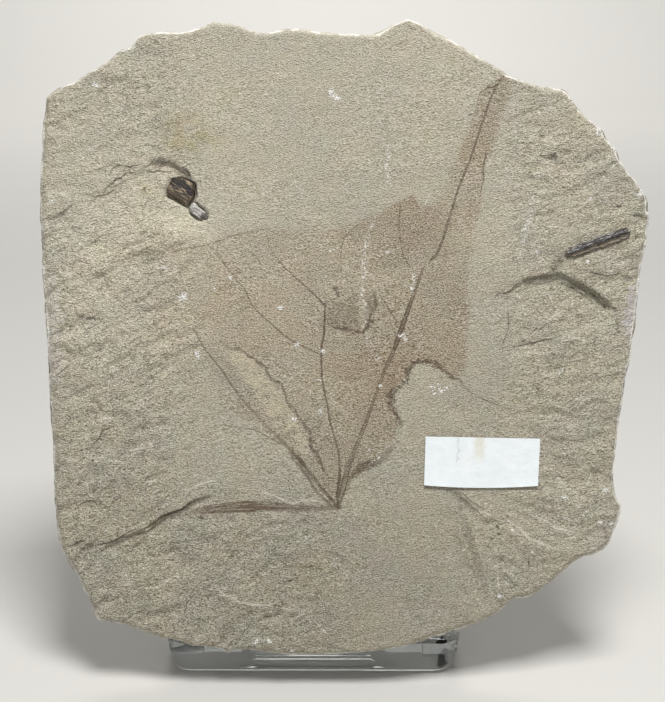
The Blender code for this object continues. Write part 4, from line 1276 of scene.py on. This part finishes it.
class FOSSIL_OT_slab(bpy.types.Operator):
    """Split the shale slab, print the leaf on it and give it its finish"""

    bl_idname = "fossil.slab"
    bl_label = "Shale Slab"

    def execute(self, context):
        settings = context.scene.fossil_slab
        piece = copy_of("slab", "shale_slab")
        mesh = piece.data
        points = places(mesh)
        if points[:, 2].min() > -THICKNESS + 2.0:
            raise RuntimeError("the slab's CAD mesh isn't in the slab's plane")
        rim = [tuple(place[:2]) for place in points[rim_of(mesh, points)]]
        on_face, on_side, on_back = self.cut_fine(mesh, points)
        outward = places(mesh, "normal")
        x, y, z = places(mesh).T.copy()
        inside = np.abs(inside_of(x, y, rim)[0])

        # The face's ground, with the lines pressed into it.
        rough = roughness_of(x, y)
        drop, lines = self.lines_on_face(x, y)
        height = open_ground(x, y) + face_relief(x, y, rough, settings) + drop
        for name, depth in (("midrib", 0.10), ("tear", 0.10), ("stalk", 0.08)):
            near = np.exp(-np.clip(lines[name][:, 1] / 0.5 + 0.5, 0.0, 8.0) ** 2 / 2.0)
            height -= depth * near * lines[name][:, 2]
        height = seated(x, y, height)

        # The rim: bevelled, nicked, and spread a little where nothing holds it.
        wide = 1.0 + 1.2 * noisy(x, y, 91.0, 0.05)
        bevel = np.clip(0.55 + 0.75 * wide + patches(x, y, RIM_BEVELS), 0.35, 4.0)
        fall = 0.85 + 0.6 * noisy(x, y, 9.2, 0.13) + 0.25 * bevel
        rim_share = np.clip(1.0 - inside / bevel, 0.0, 1.0)
        nick = noisy(x, y, 95.0, 0.42) + 0.6 * noisy(x, y, 97.0, 1.1)
        z[on_face] = (height - fall * rim_share ** 1.7 + 0.25 * rim_share * nick)[on_face]
        held = (y < REST_LINE_Y) & (np.abs(x - REST_MIDDLE_X) < REST_HALF)
        jog = settings.chipping / MM * nick * np.exp(-inside / 1.2) * on_face
        jog += np.where(held, 0.0, RIM_SPREAD * np.exp(-inside / 2.0))
        plan = unit_ways(np.stack([x, y], axis=1) - np.mean(rim, axis=0))
        x += plan[:, 0] * jog
        y += plan[:, 1] * jog

        # The layered and hackly broken side.
        stack = np.stack([x, y, z], axis=1)
        layers = noisy_in_space(stack, 5.0, (0.04, 0.04, 1.15))
        layers += 0.6 * noisy_in_space(stack, 15.0, (0.10, 0.10, 2.3))
        hackly = noisy_in_space(stack, 25.0, (0.16, 0.16, 0.22))
        hackly += 0.5 * noisy_in_space(stack, 35.0, (0.5, 0.5, 0.6))
        out = settings.lamination / MM * (1.3 * layers + 1.5 * hackly)
        out = np.where(held, np.minimum(out, 0.0) * 0.5, out) * on_side
        side_way = unit_ways(outward[:, :2])
        x += side_way[:, 0] * out
        y += side_way[:, 1] * out

        # The back, in a few low steps, and the foot kept off the bar.
        back_steps = noisy(x, y, 41.0, 0.035, 0.05) * 2.5
        back_level = np.floor(back_steps) + soft((back_steps - np.floor(back_steps) - 0.6) / 0.4)
        back = 0.45 + 0.22 * back_level + 0.18 * noisy(x, y, 43.0, 0.25) + 0.1 * noisy(x, y, 45.0, 0.7)
        z = np.where(on_back, np.maximum(z + back - 0.35, -THICKNESS), z)
        world_height = FACE_ORIGIN.z + y * math.cos(LEAN) + z * math.sin(LEAN)
        sunk = held & (z < SIDE_TOP) & (world_height < BAR_TOP)
        y = np.where(sunk, y + (BAR_TOP - world_height) / math.cos(LEAN), y)
        put_places(mesh, np.stack([x, y, z], axis=1))

        fields = {
            "face": on_face * soft((inside + 0.4) / 0.8),
            "rim": np.where(
                on_face, 1.0 - soft(inside / np.maximum(bevel * 0.75, 0.5)), 0.25 * np.exp((z + 1.0) / 2.0)),
            "rough": rough,
            "edge": np.where(on_face, np.minimum(inside, 10.0), 10.0),
            **self.prints(x, y),
            **lines,
        }
        for name, values in fields.items():
            keep(mesh, name, values)
        mesh.polygons.foreach_set("material_index", np.zeros(len(mesh.polygons), np.int32))
        focus(piece)
        bpy.ops.object.shade_smooth()
        settle(piece, "slab", stone_finish(settings))
        return {"FINISHED"}

    @staticmethod
    def cut_fine(mesh, points):
        """Cuts the mesh fine and softens its side and back; which vertices are on face, side and back."""
        for polygon in mesh.polygons:
            depths = points[list(polygon.vertices), 2]
            polygon.material_index = 0 if depths.min() > SIDE_TOP else 2 if depths.max() < SIDE_FOOT else 1
        edit_all()
        bpy.ops.mesh.subdivide(number_cuts=FINE_CUTS)
        bpy.ops.object.mode_set(mode="OBJECT")
        kinds = np.zeros((len(mesh.vertices), 3), bool)
        for polygon in mesh.polygons:
            kinds[list(polygon.vertices), polygon.material_index] = True
        on_face = kinds[:, 0]
        on_side = kinds[:, 1] & ~on_face
        mesh.vertices.foreach_set("select", ~on_face)
        mesh.edges.foreach_set("select", np.zeros(len(mesh.edges), bool))
        mesh.polygons.foreach_set("select", np.zeros(len(mesh.polygons), bool))
        bpy.ops.object.mode_set(mode="EDIT")
        bpy.ops.mesh.select_mode(type="VERT")
        bpy.ops.mesh.vertices_smooth(factor=0.5, repeat=5)
        bpy.ops.object.mode_set(mode="OBJECT")
        return on_face, on_side, kinds[:, 2] & ~on_side

    @staticmethod
    def lines_on_face(x, y):
        """How the traced steps move the ground, and the marks of every line."""
        ragged_x, ragged_y = (
            middle + 0.9 * noisy(x, y, level, 0.33) + 0.4 * noisy(x, y, level + 2.0, 0.9)
            for middle, level in ((x, 101.0), (y, 105.0)))
        lines = {}
        for name, group in leaf_marks().items():
            course = (ragged_x, ragged_y) if name in RAGGED_LINES else (x, y)
            lines[name] = line_marks(*course, group)
        drop, lines["cracks_and_shadows"], lines["ridges_and_highlights"] = traced(x, y)
        return drop, lines

    @staticmethod
    def prints(x, y):
        """What is spread over the slab: its shades and stains, the leaf's film, flecks and spots."""
        blade, progress = inside_of(x, y, BLADE)
        corners = BLADE + BLADE[:1]
        blade /= np.interp(progress, stations(corners), [corner[2] for corner in corners])
        fresh = np.maximum.reduce([inside_of(x, y, outline)[0] for outline in FRESH_FACES])
        return {
            "shade": patches(x, y, SHADES),
            "stain": patches(x, y, STAINS),
            "film": np.clip(blade, -30.0, 30.0),
            "film_density": blended(x, y, FILM_DENSITY),
            "patch": inside_of(x, y, DARK_PATCH)[0],
            "sandy": soft(inside_of(x, y, SANDY_BAND)[0] / 1.6 + 0.5),
            "flecks": fleck_marks(x, y, FLECKS),
            "spots": fleck_marks(x, y, SPOTS),
            "fresh": np.clip(fresh, -10.0, 10.0),
        }


class FOSSIL_OT_wood(bpy.types.Operator):
    """Shape the charred chip, the mineral splinter and the twig"""

    bl_idname = "fossil.wood"
    bl_label = "Fossil Wood"

    def execute(self, context):
        settings = context.scene.fossil_wood
        grain = settings.grain / MM
        chip = self.grained("wood_chip", "charred_chip", 7, -33.0, grain, 1.0, 0.45)
        settle(chip, "wood_chip", wood_finish(
            settings, "charred_wood", 33.0, settings.charcoal, settings.brown, 0.53, chip_marks))
        splinter = self.grained("wood_splinter", "mineral_splinter", 7, -35.0, grain * 0.8, 1.05, 0.2)
        settle(splinter, "wood_splinter", wood_finish(
            settings, "mineral_wood", 35.0, screen(136, 129, 120), settings.mineral, 0.42, splinter_marks))
        twig_turn = math.degrees(math.atan2(TWIG_END[1] - TWIG_START[1], TWIG_END[0] - TWIG_START[0]))
        twig = self.grained("twig", "charred_twig", 6, twig_turn, grain * 0.8, 1.0, 0.0)
        self.split_twig(twig, math.radians(twig_turn))
        settle(twig, "twig", wood_finish(
            settings, "charred_twig", -twig_turn, settings.twig, screen(160, 158, 155), 0.51, twig_marks))
        return {"FINISHED"}

    @staticmethod
    def split_twig(piece, turn):
        """Splits the twig along: a thick upper strand, and a thinner, lower one beside it."""
        points = places(piece.data)
        along, across = along_across(points[:, 0] - TWIG_START[0], points[:, 1] - TWIG_START[1], turn)
        length = math.dist(TWIG_START, TWIG_END)
        spots = np.linspace(0.0, 1.0, len(TWIG_HALF_WIDTHS))
        strand = across / np.interp(along / length, spots, TWIG_HALF_WIDTHS)
        strand = strand + 0.16 * noisy(along, across, 3.0, 0.5, 0.2)
        ragged = 0.45 * noisy(along, across, 9.0, 0.7, 0.5) + 0.35 * noisy(along, across, 11.0, 1.8, 1.2)
        points[:, 0] -= ragged * math.sin(turn) * np.sign(across)
        points[:, 1] += ragged * math.cos(turn) * np.sign(across)
        ends = np.abs(along / length - 0.5) > 0.46
        points[:, 0] += np.where(ends, 1.1 * noisy(across, along, 13.0, 1.6, 0.1), 0.0)
        low = points[:, 2].min()
        worn = soft((0.05 - strand) / 0.3) * (1.0 - 0.6 * soft((-0.6 - strand) / 0.2))
        split_end = soft((along / length - 0.88) / 0.06) * soft((strand - 0.1) / 0.3)
        worn = np.maximum(0.6 * worn, 0.9 * split_end)
        points[:, 2] = low + (points[:, 2] - low) * (1.0 - worn)
        put_places(piece.data, points)
        keep(piece.data, "strand", strand)

    @staticmethod
    def grained(node, name, cuts, turn, height, spread, up):
        """A copy of a wood node, cut fine, softened, spread and raised into fibres along its grain."""
        piece = copy_of(node, name)
        edit_all()
        bpy.ops.mesh.subdivide(number_cuts=cuts)
        bpy.ops.mesh.vertices_smooth(factor=0.5, repeat=3)
        bpy.ops.object.mode_set(mode="OBJECT")
        mesh = piece.data
        points = places(mesh)
        along, across = along_across(points[:, 0], points[:, 1], math.radians(turn))
        lined = np.stack([along * 0.12, across * 1.1, points[:, 2] * 1.1], axis=1)
        rise = noisy_in_space(lined, 3.0, (1.0, 1.0, 1.0)) + 0.5 * noisy_in_space(lined, 7.0, (2.4, 2.3, 2.3))
        low = points[:, 2].min()
        rise *= soft((points[:, 2] - low) / 0.4)
        points += places(mesh, "normal") * (height * rise)[:, None]
        points[:, 2] = np.maximum(points[:, 2], low)
        middle = points[:, :2].mean(axis=0)
        points[:, :2] = middle + (points[:, :2] - middle) * spread + (0.0, up)
        put_places(mesh, points)
        focus(piece)
        bpy.ops.object.shade_smooth_by_angle(angle=math.radians(50.0))
        return piece


class FOSSIL_OT_label(bpy.types.Operator):
    """Cut the paper label and lay it on the face with its lower edge lifted"""

    bl_idname = "fossil.label"
    bl_label = "Paper Label"

    def execute(self, context):
        settings = context.scene.fossil_label
        bpy.ops.object.select_all(action="DESELECT")
        bpy.ops.mesh.primitive_grid_add(x_subdivisions=72, y_subdivisions=30, size=2.0)
        piece = context.active_object
        piece.name = "paper_label"
        mesh = piece.data
        mesh.name = "paper_label"
        points = places(mesh)
        u, v = (points[:, :2].T + 1.0) / 2.0
        top_left, top_right, bottom_right, *_rest, bottom_left = LABEL
        (top_x, top_y), (low_x, low_y) = (
            (left[0] + (right[0] - left[0]) * u, left[1] + (right[1] - left[1]) * u)
            for left, right in ((top_left, top_right), (bottom_left, bottom_right)))
        low_y -= 0.75 * 4.0 * u * (1.0 - u)
        x = low_x + (top_x - low_x) * v
        y = low_y + (top_y - low_y) * v
        lift = settings.lift / MM
        curl = (1.0 - v) ** 3 * (0.65 + 0.35 * np.cos((u - 0.12) * 7.0))
        corners = 0.25 * (np.abs(u - 0.5) * 2.0) ** 6 * v ** 2
        waves = 0.05 * noisy(x, y, 3.0, 0.12) + 0.04 * noisy(x, y, 5.0, 0.35)
        z = SEATS["label"][0] + LABEL_CLEARANCE + lift * (curl + corners) + waves
        put_places(mesh, np.stack([x, y, z], axis=1))
        sheet = piece.modifiers.new("paper thickness", "SOLIDIFY")
        sheet.thickness = settings.thickness / MM
        sheet.offset = 0.0
        focus(piece)
        bpy.ops.object.modifier_apply(modifier=sheet.name)
        bpy.ops.object.shade_smooth_by_angle(angle=math.radians(40.0))
        settle(piece, "label", paper_finish(settings))
        return {"FINISHED"}


class FOSSIL_OT_stand(bpy.types.Operator):
    """Mould the clear stand with softened edges"""

    bl_idname = "fossil.stand"
    bl_label = "Clear Stand"

    def execute(self, context):
        settings = context.scene.fossil_stand
        piece = copy_of("stand", "clear_stand")
        bpy.ops.object.shade_smooth_by_angle(angle=math.radians(34.0))
        settle(piece, "stand", plastic_finish(settings))
        return {"FINISHED"}


class FOSSIL_OT_stage(bpy.types.Operator):
    """Lay the floor and backdrop, hang the lights and set up the camera"""

    bl_idname = "fossil.stage"
    bl_label = "Stage"

    def execute(self, context):
        settings = context.scene.fossil_stage
        self.backdrop(settings)
        middle = FACE_ORIGIN * MM
        self.lamp("key_light", middle, Vector((0.10, -0.28, 0.92)), 0.75, 0.26, settings.key_power)
        self.lamp("fill_light", middle, Vector((-0.35, -0.9, 0.15)), 1.2, 1.0, settings.fill_power)
        wall = Vector((0.0, 2.2, 0.3))
        self.lamp("backdrop_light", wall, Vector((0.0, -0.5, 1.0)), 1.5, 1.2, settings.back_power)
        world = bpy.data.worlds.new("studio")
        context.scene.world = world
        world.use_nodes = True
        background = world.node_tree.nodes["Background"]
        background.inputs["Color"].default_value = (1.0, 1.0, 1.0, 1.0)
        background.inputs["Strength"].default_value = settings.ambient
        self.camera(context)
        context.scene.view_settings.view_transform = "Standard"
        return {"FINISHED"}

    @staticmethod
    def backdrop(settings):
        """A floor that bends up into a backdrop, well behind the slab."""
        bpy.ops.object.select_all(action="DESELECT")
        bpy.ops.mesh.primitive_plane_add(size=6.0, location=(0.0, -0.6, 0.0))
        floor = bpy.context.active_object
        floor.name = "stage_floor"
        bpy.ops.object.transform_apply(location=True, rotation=True, scale=True)
        mesh = floor.data
        at_back = [vertex.co.y > 0.0 for vertex in mesh.vertices]
        mesh.vertices.foreach_set("select", at_back)
        mesh.edges.foreach_set("select", [all(at_back[v] for v in edge.vertices) for edge in mesh.edges])
        mesh.polygons.foreach_set("select", [False] * len(mesh.polygons))
        bpy.ops.object.mode_set(mode="EDIT")
        bpy.ops.mesh.select_mode(type="EDGE")
        bpy.ops.mesh.extrude_region_move(TRANSFORM_OT_translate={"value": (0.0, 0.0, 3.0)})
        bpy.ops.object.mode_set(mode="OBJECT")
        fold = floor.modifiers.new("fold", "BEVEL")
        fold.width = 0.9
        fold.segments = 24
        focus(floor)
        bpy.ops.object.modifier_apply(modifier=fold.name)
        bpy.ops.object.shade_smooth()
        mesh.materials.append(stage_finish(settings))

    @staticmethod
    def lamp(name, target, direction, distance, size, power):
        """A square soft light that looks at the target from a direction."""
        way = direction.normalized()
        bpy.ops.object.select_all(action="DESELECT")
        bpy.ops.object.light_add(type="AREA", location=target + way * distance)
        light = bpy.context.active_object
        light.name = name
        light.rotation_euler = way.to_track_quat("Z", "Y").to_euler()
        light.data.shape = "SQUARE"
        light.data.size = size
        light.data.energy = power

    @staticmethod
    def camera(context):
        """A camera square to the slab's face, framed as the picture is."""
        bpy.ops.object.select_all(action="DESELECT")
        out = Vector((0.0, -math.cos(LEAN), math.sin(LEAN)))
        bpy.ops.object.camera_add(
            location=(FACE_ORIGIN + out * CAMERA_DISTANCE) * MM,
            rotation=(math.pi / 2.0 - LEAN, 0.0, 0.0),
        )
        camera = context.active_object
        camera.name = "camera"
        long_side = max(FRAME_PIXELS) * FACE_PER_PIXEL
        camera.data.sensor_width = FILM_SIDE
        camera.data.lens = FILM_SIDE * CAMERA_DISTANCE / long_side
        camera.data.clip_start = 0.01
        camera.data.clip_end = 20.0
        context.scene.camera = camera


class FOSSIL_PT_panel(bpy.types.Panel):
    """Settings and steps of the fossil leaf"""

    bl_label = "Fossil Sycamore Leaf"
    bl_idname = "FOSSIL_PT_panel"
    bl_space_type = "VIEW_3D"
    bl_region_type = "UI"
    bl_category = "Fossil"

    def draw(self, context):
        for operator, settings in zip(OPERATORS, SETTINGS):
            group = getattr(context.scene, settings)
            box = self.layout.box()
            box.operator(operator.bl_idname)
            for name in group.__annotations__:
                box.prop(group, name)


OPERATORS = (FOSSIL_OT_slab, FOSSIL_OT_wood, FOSSIL_OT_label, FOSSIL_OT_stand, FOSSIL_OT_stage)
SETTINGS = {
    "fossil_slab": FossilSlabSettings,
    "fossil_wood": FossilWoodSettings,
    "fossil_label": FossilLabelSettings,
    "fossil_stand": FossilStandSettings,
    "fossil_stage": FossilStageSettings,
}
CLASSES = (*SETTINGS.values(), *OPERATORS, FOSSIL_PT_panel)


def register():
    for cls in CLASSES:
        bpy.utils.register_class(cls)
    for name, group in SETTINGS.items():
        setattr(bpy.types.Scene, name, bpy.props.PointerProperty(type=group))


def unregister():
    for name in SETTINGS:
        delattr(bpy.types.Scene, name)
    for cls in reversed(CLASSES):
        bpy.utils.unregister_class(cls)


def main():
    register()
    bpy.ops.fossil.slab()
    bpy.ops.fossil.wood()
    bpy.ops.fossil.label()
    bpy.ops.fossil.stand()
    bpy.ops.fossil.stage()


if __name__ == "__main__":
    main()
